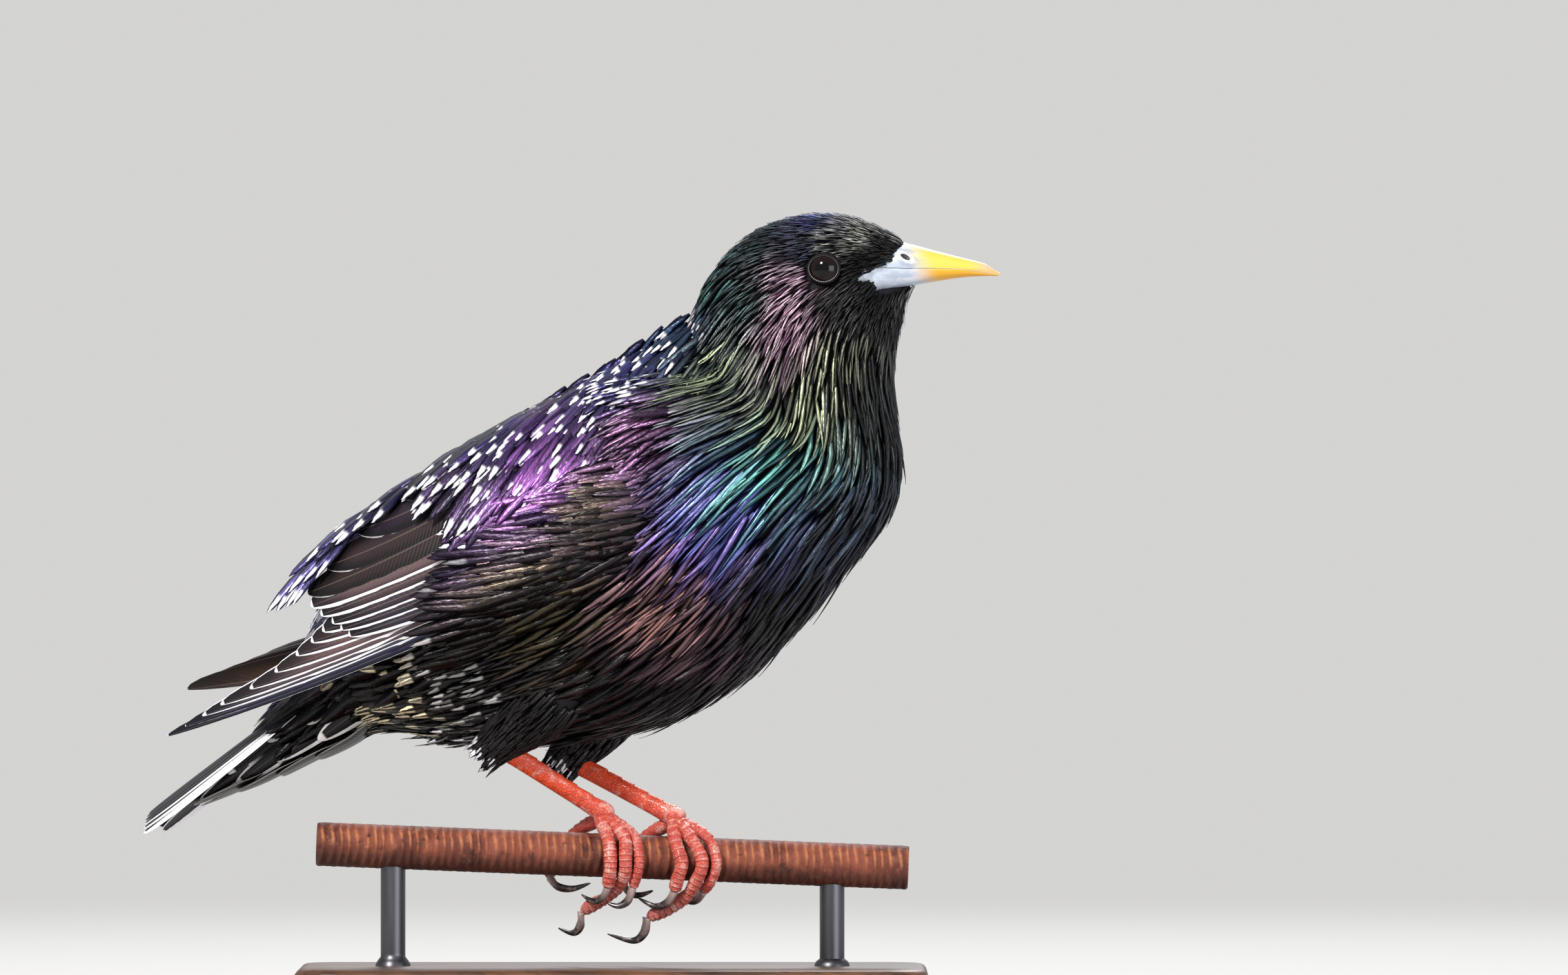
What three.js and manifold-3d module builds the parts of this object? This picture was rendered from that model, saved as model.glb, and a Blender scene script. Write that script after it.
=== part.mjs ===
// A common starling in breeding plumage, life size, perched on a cut length of ribbed bar
// that a plain display stand holds up. Millimetres, +Z up, the bird faces +X and its left is +Y.
// The origin is the middle of the base's underside.
import * as THREE from "three";
import { mergeVertices } from "three/addons/utils/BufferGeometryUtils.js";
import Module from "manifold-3d";

const wasm = await Module();
wasm.setup();

// Driving dimensions.
const GAP = 0.3; // kept between parts that touch
const BASE = { length: 132, width: 74, height: 8, corner: 9 };
const BAR = { radius: 4.7, length: 124, z: 31.1, yaw: 10, droop: 2.3 };
const STAND_ROD = { radius: 2.6, reach: 46 }; // reach is along the bar from its middle
const EYE = { x: 46.8, z: 153.8, ball: 3.7, opening: 2.9, proud: 0.25 };
const LID = { thick: 0.42, stretch: [1.06, 0.96, 1.2], turn: 20 };
const BODY_SIDES = 24;
const VANE_THICK = 0.56;
const VANE_KEEL = 0.14; // how far a vane is raised along its shaft

// Rungs of the body's profile from the bill's base to the tail's: the upper end on the crown and back,
// the lower end on the throat and belly, the half width, and how square the section is (2 is an ellipse).
const RUNGS = [
  { top: [61.8, 159.7], low: [66.6, 150.7], half: 2.4, square: 2.2 },
  { top: [59.9, 161.1], low: [64.0, 149.6], half: 3.9, square: 2.2 },
  { top: [55.6, 163.2], low: [62.2, 146.8], half: 6.0, square: 2.2 },
  { top: [50.6, 164.9], low: [61.3, 142.7], half: 8.4, square: 2.2 },
  { top: [45.2, 165.5], low: [60.3, 138.7], half: 10.2, square: 2.2 },
  { top: [38.5, 164.9], low: [59.7, 134.3], half: 11.3, square: 2.2 },
  { top: [31.0, 162.2], low: [59.4, 129.6], half: 12.0, square: 2.2 },
  { top: [24.6, 157.3], low: [59.8, 124.5], half: 12.7, square: 2.2 },
  { top: [20.0, 151.1], low: [60.6, 119.1], half: 14.0, square: 2.2 },
  { top: [17.0, 143.7], low: [61.0, 113.4], half: 16.2, square: 2.2 },
  { top: [14.2, 137.6], low: [60.2, 106.9], half: 19.0, square: 2.2 },
  { top: [6.1, 135.0], low: [57.0, 100.2], half: 22.0, square: 2.2 },
  { top: [-5.4, 130.6], low: [50.6, 92.4], half: 25.0, square: 2.2 },
  { top: [-18.2, 122.2], low: [40.5, 80.3], half: 27.0, square: 2.2 },
  { top: [-31.0, 113.3], low: [28.4, 68.5], half: 26.8, square: 2.2 },
  { top: [-43.2, 104.2], low: [12.8, 59.3], half: 25.0, square: 2.2 },
  { top: [-52.0, 97.1], low: [-4.0, 55.5], half: 22.0, square: 2.2 },
  { top: [-58.0, 90.7], low: [-21.6, 53.9], half: 18.0, square: 2.2 },
  { top: [-62.1, 84.0], low: [-35.1, 55.0], half: 13.5, square: 2.2 },
  { top: [-64.8, 77.2], low: [-45.9, 57.1], half: 9.5, square: 2.2 },
  { top: [-66.8, 70.5], low: [-54.7, 56.0], half: 6.0, square: 2.2 },
];
const NECK_AT = 6.6; // rung numbers where the body is parted
const TORSO_AT = 10.4;
const RUMP_AT = 17.2;
const LAST = RUNGS.length - 1;

const v3 = (x, y, z) => new THREE.Vector3(x, y, z);
const lerp = THREE.MathUtils.lerp;
const clamp01 = (t) => Math.min(1, Math.max(0, t));
const rad = THREE.MathUtils.degToRad;

// A smooth value between numbers given at evenly spaced steps; t counts the steps.
function along(values, t) {
  const last = values.length - 1;
  const i = Math.min(last - 1, Math.max(0, Math.floor(t)));
  const [a, b, c, d] = [i - 1, i, i + 1, i + 2].map((k) => values[Math.min(last, Math.max(0, k))]);
  const f = Math.min(last, Math.max(0, t)) - i;
  return b + 0.5 * f * (c - a + f * (2 * a - 5 * b + 4 * c - d + f * (3 * (b - c) + d - a)));
}

// The same between numbers given at the places of a rising list.
function profile(places, values, x) {
  const last = places.length - 1;
  let i = 0;
  while (i < last - 1 && x > places[i + 1]) i += 1;
  return along(values, i + clamp01((x - places[i]) / (places[i + 1] - places[i])));
}

function solidOf(geometry) {
  const g = geometry.index ? geometry.toNonIndexed() : geometry.clone();
  g.deleteAttribute("normal");
  g.deleteAttribute("uv");
  const merged = mergeVertices(g, 1e-4);
  return new wasm.Manifold(
    new wasm.Mesh({
      numProp: 3,
      vertProperties: new Float32Array(merged.attributes.position.array),
      triVerts: new Uint32Array(merged.index.array),
    }),
  );
}

function geometryOf(solid) {
  const mesh = solid.getMesh();
  const g = new THREE.BufferGeometry();
  g.setAttribute("position", new THREE.BufferAttribute(new Float32Array(mesh.vertProperties), 3));
  g.setIndex(new THREE.BufferAttribute(new Uint32Array(mesh.triVerts), 1));
  g.computeVertexNormals();
  return g;
}

// The solid inside a skin of triangles, all of them turned round if they face inwards.
function facingOut(geometry, faces) {
  geometry.setIndex(faces);
  const made = solidOf(geometry);
  if (made.volume() > 0) return made;
  geometry.setIndex(faces.map((_, i) => faces[i - (i % 3) + 2 - (i % 3)]));
  return solidOf(geometry);
}

// The largest closed surface, which drops loose scraps and fills sealed hollows.
function largest(solid) {
  return solid.decompose().reduce((a, b) => (b.volume() > a.volume() ? b : a));
}

const joined = (solids) => wasm.Manifold.union(solids);

// A closed skin over rings of equally many points, each ring going the same way round.
function loft(rings) {
  const sides = rings[0].length;
  const points = rings.flat();
  const faces = [];
  rings.slice(1).forEach((_, i) => {
    for (let k = 0; k < sides; k += 1) {
      const a = i * sides + k;
      const b = i * sides + ((k + 1) % sides);
      faces.push(a, b, a + sides, b, b + sides, a + sides);
    }
  });
  [0, rings.length - 1].forEach((i) => {
    const middle = rings[i].reduce((sum, p) => sum.add(p), v3(0, 0, 0)).divideScalar(sides);
    const centre = points.push(middle) - 1;
    for (let k = 0; k < sides; k += 1) {
      const a = i * sides + k;
      const b = i * sides + ((k + 1) % sides);
      faces.push(...(i ? [a, b, centre] : [b, a, centre]));
    }
  });
  const g = new THREE.BufferGeometry().setFromPoints(points);
  return facingOut(g, faces);
}

// A tube of round or oval section along a curve. size(t) gives [half width, half height].
function tube(curve, steps, sides, size, up = v3(0, 0, 1)) {
  const rings = [];
  for (let i = 0; i <= steps; i += 1) {
    const t = i / steps;
    const p = curve.getPoint(t);
    const d = curve.getTangent(t);
    const side = v3(0, 0, 0).crossVectors(d, up).normalize();
    const over = v3(0, 0, 0).crossVectors(side, d).normalize();
    const [wide, high] = size(t);
    rings.push(
      Array.from({ length: sides }, (_, k) => {
        const a = (2 * Math.PI * (k + 0.5)) / sides;
        return p.clone().addScaledVector(side, wide * Math.cos(a)).addScaledVector(over, high * Math.sin(a));
      }),
    );
  }
  return loft(rings);
}

// The body's section at rung number s: a ring in the rung's own plane, from the top round by +Y.
const rungValue = (read, s) => along(RUNGS.map(read), s);
function bodyRing(s, grow = 0, shift = 0) {
  const top = [0, 1].map((k) => rungValue((r) => r.top[k], s));
  const low = [0, 1].map((k) => rungValue((r) => r.low[k], s));
  const centre = v3((top[0] + low[0]) / 2, 0, (top[1] + low[1]) / 2);
  const up = v3(top[0] - low[0], 0, top[1] - low[1]).divideScalar(2);
  const tall = up.length() + grow;
  up.normalize();
  const half = rungValue((r) => r.half, s) + grow;
  const power = 2 / rungValue((r) => r.square, s);
  const forward = v3(up.z, 0, -up.x);
  return Array.from({ length: BODY_SIDES }, (_, k) => {
    const a = (2 * Math.PI * k) / BODY_SIDES;
    const c = Math.sign(Math.cos(a)) * Math.abs(Math.cos(a)) ** power;
    const d = Math.sign(Math.sin(a)) * Math.abs(Math.sin(a)) ** power;
    return centre
      .clone()
      .addScaledVector(up, tall * c)
      .addScaledVector(forward, shift)
      .add(v3(0, half * d, 0));
  });
}

// A length of the body between two rungs, its ends drawn in by half a gap where it is parted.
function bodyLength(from, to, steps, grow = 0) {
  const rings = Array.from({ length: steps + 1 }, (_, i) => {
    const shift = i === 0 && from > 0 ? -GAP / 2 : i === steps && to < LAST ? GAP / 2 : 0;
    return bodyRing(lerp(from, to, i / steps), grow, shift);
  });
  return loft(rings);
}

const group = new THREE.Group();
function add(name, solid, colour, roughness = 0.5, metalness = 0) {
  const material = new THREE.MeshStandardMaterial({ color: colour, roughness, metalness });
  const mesh = new THREE.Mesh(geometryOf(solid), material);
  mesh.name = name;
  group.add(mesh);
}

// Bill: heights and half widths at places along X, from inside the face to the tip.
const BILL = {
  x: [54.0, 58.2, 63.0, 68.6, 74.1, 79.0, 82.4],
  ridge: [160.6, 160.2, 159.3, 157.6, 156.2, 154.9, 153.0],
  edge: [152.4, 153.5, 153.9, 153.9, 153.7, 153.1, 152.6],
  keel: [148.9, 149.4, 150.2, 151.2, 152.0, 152.3, 152.3],
  half: [5.2, 4.9, 4.1, 3.1, 2.2, 1.3, 0.35],
};
const NOSTRIL = { x: 62.0, z: 156.3, long: 1.5, deep: 0.9, tall: 0.8, tilt: 25, inset: 0.97 };
const BILL_SQUARE = 0.8; // below 1 fills out the sides of the bill's half-round section
const LOWER_BILL_SHORT = 0.6; // the lower half ends this far behind the upper one's tip

// One half of the bill: a section with a round outer face and a flat inner one at the mouth line.
function billHalf(outer, sign, tip, grow) {
  const steps = 12;
  const sides = 9;
  const from = BILL.x[0] - grow;
  const rings = Array.from({ length: steps + 1 }, (_, i) => {
    const x = lerp(from, tip + grow, i / steps);
    const edge = profile(BILL.x, BILL.edge, x) + sign * (GAP / 2 - grow);
    const reach = Math.max(0.25, Math.abs(profile(BILL.x, outer, x) - edge)) + grow;
    const half = profile(BILL.x, BILL.half, x) + grow;
    return Array.from({ length: sides + 3 }, (_, k) => {
      if (k > sides) return v3(x, half * (k === sides + 1 ? -0.5 : 0.5), edge);
      const a = (Math.PI * k) / sides;
      const tall = reach * Math.sin(a) ** BILL_SQUARE;
      return v3(x, half * Math.cos(a), edge + sign * tall);
    });
  });
  return loft(rings);
}

const upperBill = (grow = 0) => billHalf(BILL.ridge, 1, BILL.x.at(-1), grow);
const lowerBill = (grow = 0) => billHalf(BILL.keel, -1, BILL.x.at(-1) - LOWER_BILL_SHORT, grow);

// A ball stretched along its own axes, turned about Y by tilt degrees, and put at a point.
function ball(at, sizes, tilt = 0, detail = [16, 10]) {
  const g = new THREE.SphereGeometry(1, ...detail);
  g.scale(...sizes);
  g.rotateY(rad(tilt));
  g.translate(at.x, at.y, at.z);
  return solidOf(g);
}

// Half width of the body's skin at a point of the profile, found by halving the rung number.
function skinAt(x, z, from, to) {
  const side = (s) => {
    const top = [0, 1].map((k) => rungValue((r) => r.top[k], s));
    const low = [0, 1].map((k) => rungValue((r) => r.low[k], s));
    return { cross: (top[0] - low[0]) * (z - low[1]) - (top[1] - low[1]) * (x - low[0]), top, low };
  };
  let [a, b] = [from, to];
  const sign = Math.sign(side(a).cross);
  for (let i = 0; i < 24; i += 1) {
    const m = (a + b) / 2;
    if (Math.sign(side(m).cross) === sign) a = m;
    else b = m;
  }
  const { top, low } = side(a);
  const tall = Math.hypot(top[0] - low[0], top[1] - low[1]) / 2;
  const up = Math.hypot(x - (top[0] + low[0]) / 2, z - (top[1] + low[1]) / 2) / tall;
  const power = rungValue((r) => r.square, a);
  return rungValue((r) => r.half, a) * Math.max(0, 1 - up ** power) ** (1 / power);
}

// Eyes: a ball sunk in a socket, inside a ring of lid raised on the head.
const EYE_SKIN = skinAt(EYE.x, EYE.z, 2, 8);
const eyeDepth = Math.sqrt(EYE.ball ** 2 - EYE.opening ** 2);
const eyeAt = (side) => v3(EYE.x, side * (EYE_SKIN - eyeDepth + EYE.proud), EYE.z);
function lid(side) {
  const g = new THREE.TorusGeometry(EYE.opening + LID.thick / 2, LID.thick, 5, 16);
  g.scale(...LID.stretch);
  g.rotateX(Math.PI / 2);
  g.rotateZ(rad(side * -LID.turn));
  g.translate(EYE.x, side * EYE_SKIN, EYE.z);
  return solidOf(g);
}

function makeHead() {
  const sides = [1, -1];
  const flesh = joined([bodyLength(0, NECK_AT, 13), ...sides.map(lid)]);
  const sockets = sides.map((s) => {
    const r = EYE.ball + GAP;
    return ball(eyeAt(s), [r, r, r], 0, [14, 10]);
  });
  return largest(flesh.subtract(joined([...sockets, upperBill(GAP), lowerBill(GAP)])));
}

function makeUpperBill() {
  const pits = [1, -1].map((s) => {
    const at = v3(NOSTRIL.x, s * profile(BILL.x, BILL.half, NOSTRIL.x) * NOSTRIL.inset, NOSTRIL.z);
    return ball(at, [NOSTRIL.long, NOSTRIL.deep, NOSTRIL.tall], NOSTRIL.tilt, [10, 6]);
  });
  return largest(upperBill().subtract(joined(pits)));
}

add("head", makeHead(), "#23262c", 0.4, 0.3);
add("bill_upper", makeUpperBill(), "#e8c21e", 0.35);
add("bill_lower", lowerBill(), "#e0a81c", 0.35);
[["left", 1], ["right", -1]].forEach(([side, s]) => {
  const r = EYE.ball;
  add(`eye_${side}`, ball(eyeAt(s), [r, r, r], 0, [16, 12]), "#1a0f0b", 0.05);
});

// Wing: its own axes run from the shoulder to the tip of the longest primary (run) and up across it (rise).
// The left wing's tip is drawn in and held a little higher than the right's.
const WING = {
  shoulder: [19.6, 123.8],
  towards: [-0.857, -0.516],
  left: { drawnIn: 0.96, raised: 8, from: 50, to: 126 },
  half: { at: [-8, 20, 40, 70, 95, 120, 136], mm: [19.0, 25.8, 27.8, 24.6, 18.4, 11.5, 8.2] },
  middle: { at: [-8, 20, 40, 70, 95, 120, 136], mm: [-14, -17, -17, -12.5, -8, -4.5, -2.5] },
  tall: { at: [-8, 20, 40, 70, 95, 120, 136], mm: [31, 34.5, 35.2, 28.5, 23, 17, 14] },
};
function wingHalf(run, rise) {
  const read = (p) => profile(p.at, p.mm, run);
  const off = (rise - read(WING.middle)) / read(WING.tall);
  return read(WING.half) * Math.sqrt(Math.max(0.02, 1 - off * off));
}
// A point over the folded wing's sheet, `out` from it, on the side that s (1 left, -1 right) names.
function wingPoint(s, run, rise, out) {
  const { shoulder, left } = WING;
  const [dx, dz] = WING.towards;
  const at = (reach, across) => {
    const r = s > 0 ? reach * left.drawnIn : reach;
    const raised = s > 0 ? left.raised * clamp01((r - left.from) / (left.to - left.from)) ** 2 : 0;
    const e = across + raised;
    return v3(shoulder[0] + r * dx + e * dz, wingHalf(r, across), shoulder[1] + r * dz - e * dx);
  };
  const step = 0.5;
  const p = at(run, rise);
  const a = at(run + step, rise).sub(at(run - step, rise));
  const b = at(run, rise + step).sub(at(run, rise - step));
  const n = v3(0, 0, 0).crossVectors(a, b).normalize();
  if (n.y < 0) n.negate();
  p.addScaledVector(n, out);
  return v3(p.x, s * p.y, p.z);
}

// A feather's vane over a sheet given by place(run, rise, out): a thin plate, a little raised along its
// shaft, from root to tip, with both faces split alike. wide is its half width and blunt how far from the tip
// it starts to round off, as a share of its length.
function vane(place, { root, tip, wide, out, bow = 0, blunt = 0.35, sink = 0.5, steps = 4 }) {
  const across = [-1, 0, 1];
  const run = tip[0] - root[0];
  const rise = tip[1] - root[1];
  const long = Math.hypot(run, rise);
  const [px, py] = [-rise / long, run / long];
  const rings = Array.from({ length: steps + 1 }, (_, i) => {
    const t = i === steps ? 1 : (i / steps) ** 0.9;
    const past = clamp01((t - (1 - blunt)) / blunt);
    const w = wide * Math.min(1, 0.55 + 1.8 * t) * Math.max(0.12, Math.sqrt(Math.max(0, 1 - past ** 2.4)));
    const side = bow * 4 * t * (1 - t);
    const c = [root[0] + run * t + px * side, root[1] + rise * t + py * side];
    const thick = VANE_THICK * (i === steps ? 0.6 : 1);
    const lift = out - sink * (1 - clamp01(t / 0.25));
    const point = (k, extra) =>
      place(c[0] + px * w * k, c[1] + py * w * k, lift + (k === 0 ? VANE_KEEL : 0) + extra);
    return [...across.map((k) => point(k, thick)), ...across.toReversed().map((k) => point(k, 0))];
  });
  return plate(rings);
}

// The closed skin of a plate whose rings run over three points of one face and back over the other.
function plate(rings) {
  const points = rings.flat();
  const sides = 6;
  const faces = [];
  for (let i = 0; i < rings.length - 1; i += 1) {
    for (let k = 0; k < sides; k += 1) {
      const a = i * sides + k;
      const b = i * sides + ((k + 1) % sides);
      const under = k > 2 && k < 5;
      if (under) faces.push(a, b, b + sides, a, b + sides, a + sides);
      else faces.push(a, b, a + sides, b, b + sides, a + sides);
    }
  }
  const last = (rings.length - 1) * sides;
  const cap = [0, 1, 5, 1, 4, 5, 1, 2, 4, 2, 3, 4];
  cap.forEach((_, i) => faces.push(cap[i - (i % 3) + 2 - (i % 3)]));
  cap.forEach((k) => faces.push(last + k));
  const g = new THREE.BufferGeometry().setFromPoints(points);
  return facingOut(g, faces);
}

// The tiers of a folded wing, undermost first: each feather from its root to its tip in the wing's axes.
const PRIMARY_TIPS = [
  [131.9, 0.0],
  [126.0, -0.4],
  [117.2, -0.8],
  [109.0, -1.0],
  [101.2, -0.5],
  [94.8, 0.4],
  [88.2, 1.2],
];
const TIER = {
  secondary: { count: 5, root: [36, -13.0], rootStep: [1.5, 2.6], tip: [79.5, -4.2], tipStep: [-2.1, 1.9] },
  tertial: { count: 3, root: [30, -1.5], rootStep: [2, 4], tip: [76.5, 5.5], tipStep: [-8, 2.6] },
  greater: { count: 5, root: [20, -12.2], rootStep: [1, 5.0], tip: [50, -11.4], tipStep: [-0.8, 5.1] },
  median: { count: 5, root: [9, -11.8], rootStep: [0.6, 4.9], tip: [34, -11.2], tipStep: [-0.9, 5.0] },
};
const PITCH = 0.28; // each flight feather lies this much further out than the one under it
function wingFeathers(s) {
  const place = (run, rise, out) => wingPoint(s, run, rise, out);
  const list = PRIMARY_TIPS.map((tip, i) => ({
    root: [46 + i * 1.5, -13.5 + i * 1.1],
    tip,
    wide: 3.7 + i * 0.1,
    out: 0.3 + i * PITCH,
    bow: -1.4,
    blunt: i ? 0.3 : 0.45,
  }));
  const tier = (name, shape) => {
    const { count, root, rootStep, tip, tipStep } = TIER[name];
    for (let i = 0; i < count; i += 1) {
      list.push({
        root: [root[0] + i * rootStep[0], root[1] + i * rootStep[1]],
        tip: [tip[0] + i * tipStep[0], tip[1] + i * tipStep[1]],
        ...shape,
        out: shape.out + i * shape.pitch,
      });
    }
  };
  const flight = 0.3 + PRIMARY_TIPS.length * PITCH;
  tier("secondary", { wide: 4.4, out: flight, pitch: PITCH, bow: -0.8, blunt: 0.16 });
  tier("tertial", { wide: 5.0, out: flight + 5 * PITCH, pitch: PITCH, bow: 0.4, blunt: 0.28 });
  tier("greater", { wide: 3.9, out: flight + 1.9, pitch: 0.12, blunt: 0.3, steps: 3 });
  tier("median", { wide: 3.7, out: flight + 2.4, pitch: 0.1, blunt: 0.45, steps: 3 });
  return list.map((f) => vane(place, f));
}

// The wing's fleshy part under its coverts: a pad that follows the same sheet, thinning to its rim.
const PAD = { inner: 0.3, outer: 4.4, run: [0, 58], rise: [-15.5, 13], rim: 0.5 };
const POCKET = { inner: -0.5, outer: 14, run: [-1.5, 104], rise: [-18.5, 16.5], rim: 0 };
const PAD_CORNER = 0.35; // share of the pad's width left at its two ends
function wingPad(s, { inner, outer, run: [from, to], rise: [low, high], rim }) {
  const columns = 12;
  const rows = 9;
  const grid = (out) =>
    Array.from({ length: columns + 1 }, (_, i) =>
      Array.from({ length: rows + 1 }, (_, j) => {
        const u = i / columns;
        const v = j / rows;
        const round = Math.sqrt(Math.max(0, 1 - (2 * u - 1) ** 6));
        const centre = (low + high) / 2;
        const rise = centre + (v - 0.5) * (high - low) * lerp(PAD_CORNER, 1, round);
        const run = lerp(from, to, u);
        const dome = rim ? 1 - Math.max(Math.abs(2 * u - 1), Math.abs(2 * v - 1)) ** 4 : 1;
        return wingPoint(s, run, rise, out * (rim ? lerp(rim, 1, dome) : 1));
      }),
    );
  return sheetSolid(grid(outer), grid(inner));
}

// A closed solid between two like grids of points.
function sheetSolid(upper, lower) {
  const n = upper.length;
  const m = upper[0].length;
  const points = [...upper.flat(), ...lower.flat()];
  const id = (layer, i, j) => layer * n * m + i * m + j;
  const faces = [];
  for (let i = 0; i < n - 1; i += 1) {
    for (let j = 0; j < m - 1; j += 1) {
      const [a, b, c, d] = [id(0, i, j), id(0, i + 1, j), id(0, i, j + 1), id(0, i + 1, j + 1)];
      const layer = n * m;
      faces.push(a, b, c, b, d, c);
      faces.push(a + layer, c + layer, b + layer, b + layer, c + layer, d + layer);
    }
  }
  const rim = [];
  for (let i = 0; i < n - 1; i += 1) rim.push([i, 0]);
  for (let j = 0; j < m - 1; j += 1) rim.push([n - 1, j]);
  for (let i = n - 1; i > 0; i -= 1) rim.push([i, m - 1]);
  for (let j = m - 1; j > 0; j -= 1) rim.push([0, j]);
  rim.forEach(([i, j], k) => {
    const [p, q] = rim[(k + 1) % rim.length];
    const [a, b, c, d] = [id(0, i, j), id(1, i, j), id(0, p, q), id(1, p, q)];
    faces.push(a, b, c, c, b, d);
  });
  const g = new THREE.BufferGeometry().setFromPoints(points);
  return facingOut(g, faces);
}

const makeWing = (s) => largest(joined([wingPad(s, PAD), ...wingFeathers(s)]));
const pockets = joined([1, -1].map((s) => wingPad(s, POCKET)));

// Legs. Points are given as [along the view, towards the viewer, height], in the perch's own frame:
// the first runs along the bar, the second square to it. The right side of the bird is the near one.
const FOOT = {
  right: {
    knee: [-12, 12, 66],
    ankle: [-24.2, 9.2, 54.6],
    palm: [-2.0, 1.5, 40.2],
    toes: [
      {
        r: 1.35,
        path: [
          [-2.4, -0.6, 39.0], [-5.5, -3.4, 37.5], [-9.4, -6.4, 34.2], [-12.6, -7.3, 30], [-13.2, -5.4, 26.4],
        ],
        claw: [[-13.0, -5.0, 26.0], [-8.9, -1.2, 24.2], [-4.6, 1.2, 25.3]],
      },
      {
        r: 1.1,
        path: [[-0.6, 2.4, 39.2], [4.4, 5.0, 35.5], [5.6, 6.6, 31], [5.2, 6.2, 27.3], [4.2, 5.0, 24.4]],
        claw: [[4.0, 4.9, 24.0], [2.2, 5.0, 20.9], [-1.0, 4.5, 21.4]],
      },
      {
        r: 1.35,
        path: [
          [-0.9, 2.4, 39.4], [2.4, 6.1, 35.2], [2.8, 7.3, 31], [2.6, 6.3, 27.3],
          [1.0, 2.8, 24.4], [-2.6, 0.4, 21.6], [-6.6, -0.9, 19.2],
        ],
        claw: [[-6.6, -1.0, 18.8], [-8.0, -2.2, 15.0], [-11.3, -3.2, 15.9]],
      },
      {
        r: 1.4,
        path: [[-2.6, 2.2, 39.0], [-1.0, 5.6, 35.3], [-0.4, 7.0, 31], [-0.5, 6.6, 27.5], [-1.0, 5.2, 24.6]],
        claw: [[-1.2, 4.9, 24.2], [-3.8, 2.8, 21.7], [-6.4, 0.7, 23.0]],
      },
    ],
  },
  left: {
    knee: [1, -12, 65],
    ankle: [-9.6, -8.6, 51.4],
    palm: [13.0, -0.4, 39.2],
    toes: [
      {
        r: 1.35,
        path: [[12.4, -1.2, 38.2], [8.8, -4.0, 36.3], [5.0, -6.6, 33], [2.4, -7.2, 29], [2.0, -5.4, 25.6]],
        claw: [[2.2, -5.0, 25.2], [5.0, -2.0, 22.9], [8.4, 0.4, 23.7]],
      },
      {
        r: 1.4,
        path: [[12.8, 0.6, 38.4], [13.2, 5.4, 34.2], [14.5, 7.0, 29.8], [13.7, 6.3, 26.5], [13.0, 5.0, 23.8]],
        claw: [[12.8, 4.7, 23.4], [9.0, 3.2, 20.6], [5.6, 1.8, 22.2]],
      },
      {
        r: 1.35,
        path: [
          [13.8, 0.8, 38.4], [17.0, 5.6, 34.0], [18.8, 7.2, 29.8], [17.4, 5.7, 25.6],
          [15.0, 3.2, 22.2], [11, 1.4, 19.6], [7.2, 0.3, 18.1],
        ],
        claw: [[7.2, 0.1, 17.7], [4.4, -1.2, 13.4], [-1.0, -2.4, 14.6]],
      },
      {
        r: 1.1,
        path: [[14.2, 0.0, 38.4], [19.8, 4.3, 35.2], [21.8, 6.4, 30], [20.6, 5.2, 25.8], [19.0, 3.0, 23.8]],
        claw: [[18.8, 2.8, 23.6], [16.0, -0.4, 21.6], [12.6, -1.6, 23.0]],
      },
    ],
  },
};
const PALM = 2.5;
const THIGH = { top: [8, 6, 8], end: [3, 2.9, 3], reach: 0.9 };
const SHANK = { deep: 1.95, wide: 1.25, ankle: 2.15, scutes: 6, step: 0.16, flare: 0.25 };
const TOE = {
  stepsPerJoint: 2,
  sides: 7,
  knuckles: 3,
  knuckle: 0.07,
  taper: [1.06, 0.98],
  roundFrom: 0.84,
  end: 0.3,
};
const CLAW = { deep: 0.85, wide: 0.55, tip: 0.14 };

// From the perch's frame to the part's.
const perchPoint = ([run, near, z]) => {
  const a = rad(BAR.yaw);
  return v3(run * Math.cos(a) + near * Math.sin(a), run * Math.sin(a) - near * Math.cos(a), z);
};
const curveOf = (points) => new THREE.CatmullRomCurve3(points.map(perchPoint), false, "catmullrom", 0.5);

const round = (at, r) => ball(at, [r, r, r], 0, [10, 8]);
function toe({ path, r }, grow = 0) {
  const steps = Math.round(path.length * TOE.stepsPerJoint);
  return tube(curveOf(path), steps, TOE.sides, (t) => {
    const knuckle = 1 + TOE.knuckle * Math.cos(2 * Math.PI * t * TOE.knuckles);
    const end = Math.sqrt(1 - clamp01((t - TOE.roundFrom) / (1 - TOE.roundFrom)) ** 2);
    const size = r * lerp(...TOE.taper, t) * knuckle * Math.max(TOE.end, end) + grow;
    return [size, size];
  });
}
function shank(leg, grow = 0) {
  const path = curveOf([leg.ankle, leg.palm]);
  const steps = SHANK.scutes * 2;
  const across = perchPoint([0, 1, 0]).sub(perchPoint([0, 0, 0]));
  const made = tube(path, steps, 8, (t) => {
    const step = Math.round(t * steps) % 2 ? SHANK.step : 0;
    const ends = 1 + SHANK.flare * (2 * t - 1) ** 4;
    return [SHANK.deep * ends - step + grow, SHANK.wide * ends + grow];
  }, across);
  return joined([made, round(perchPoint(leg.ankle), SHANK.ankle + grow)]);
}
const palm = (leg, grow = 0) => round(perchPoint(leg.palm), PALM + grow);
function thigh(leg, grow = 0) {
  const [a, b] = [leg.knee, leg.ankle].map(perchPoint);
  const grown = (sizes) => sizes.map((r) => r + grow);
  return wasm.Manifold.hull([
    ball(a, grown(THIGH.top), 0, [12, 8]),
    ball(a.clone().lerp(b, THIGH.reach), grown(THIGH.end), 0, [8, 6]),
  ]);
}
function claw({ claw: points }) {
  return tube(curveOf(points), 6, 5, (t) => {
    const size = Math.sqrt(1 - t);
    return [Math.max(CLAW.tip, CLAW.wide * size), Math.max(CLAW.tip, CLAW.deep * size)];
  });
}

const legs = Object.entries(FOOT);
const thighRoom = joined(legs.map(([, leg]) => thigh(leg, GAP)));

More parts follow.
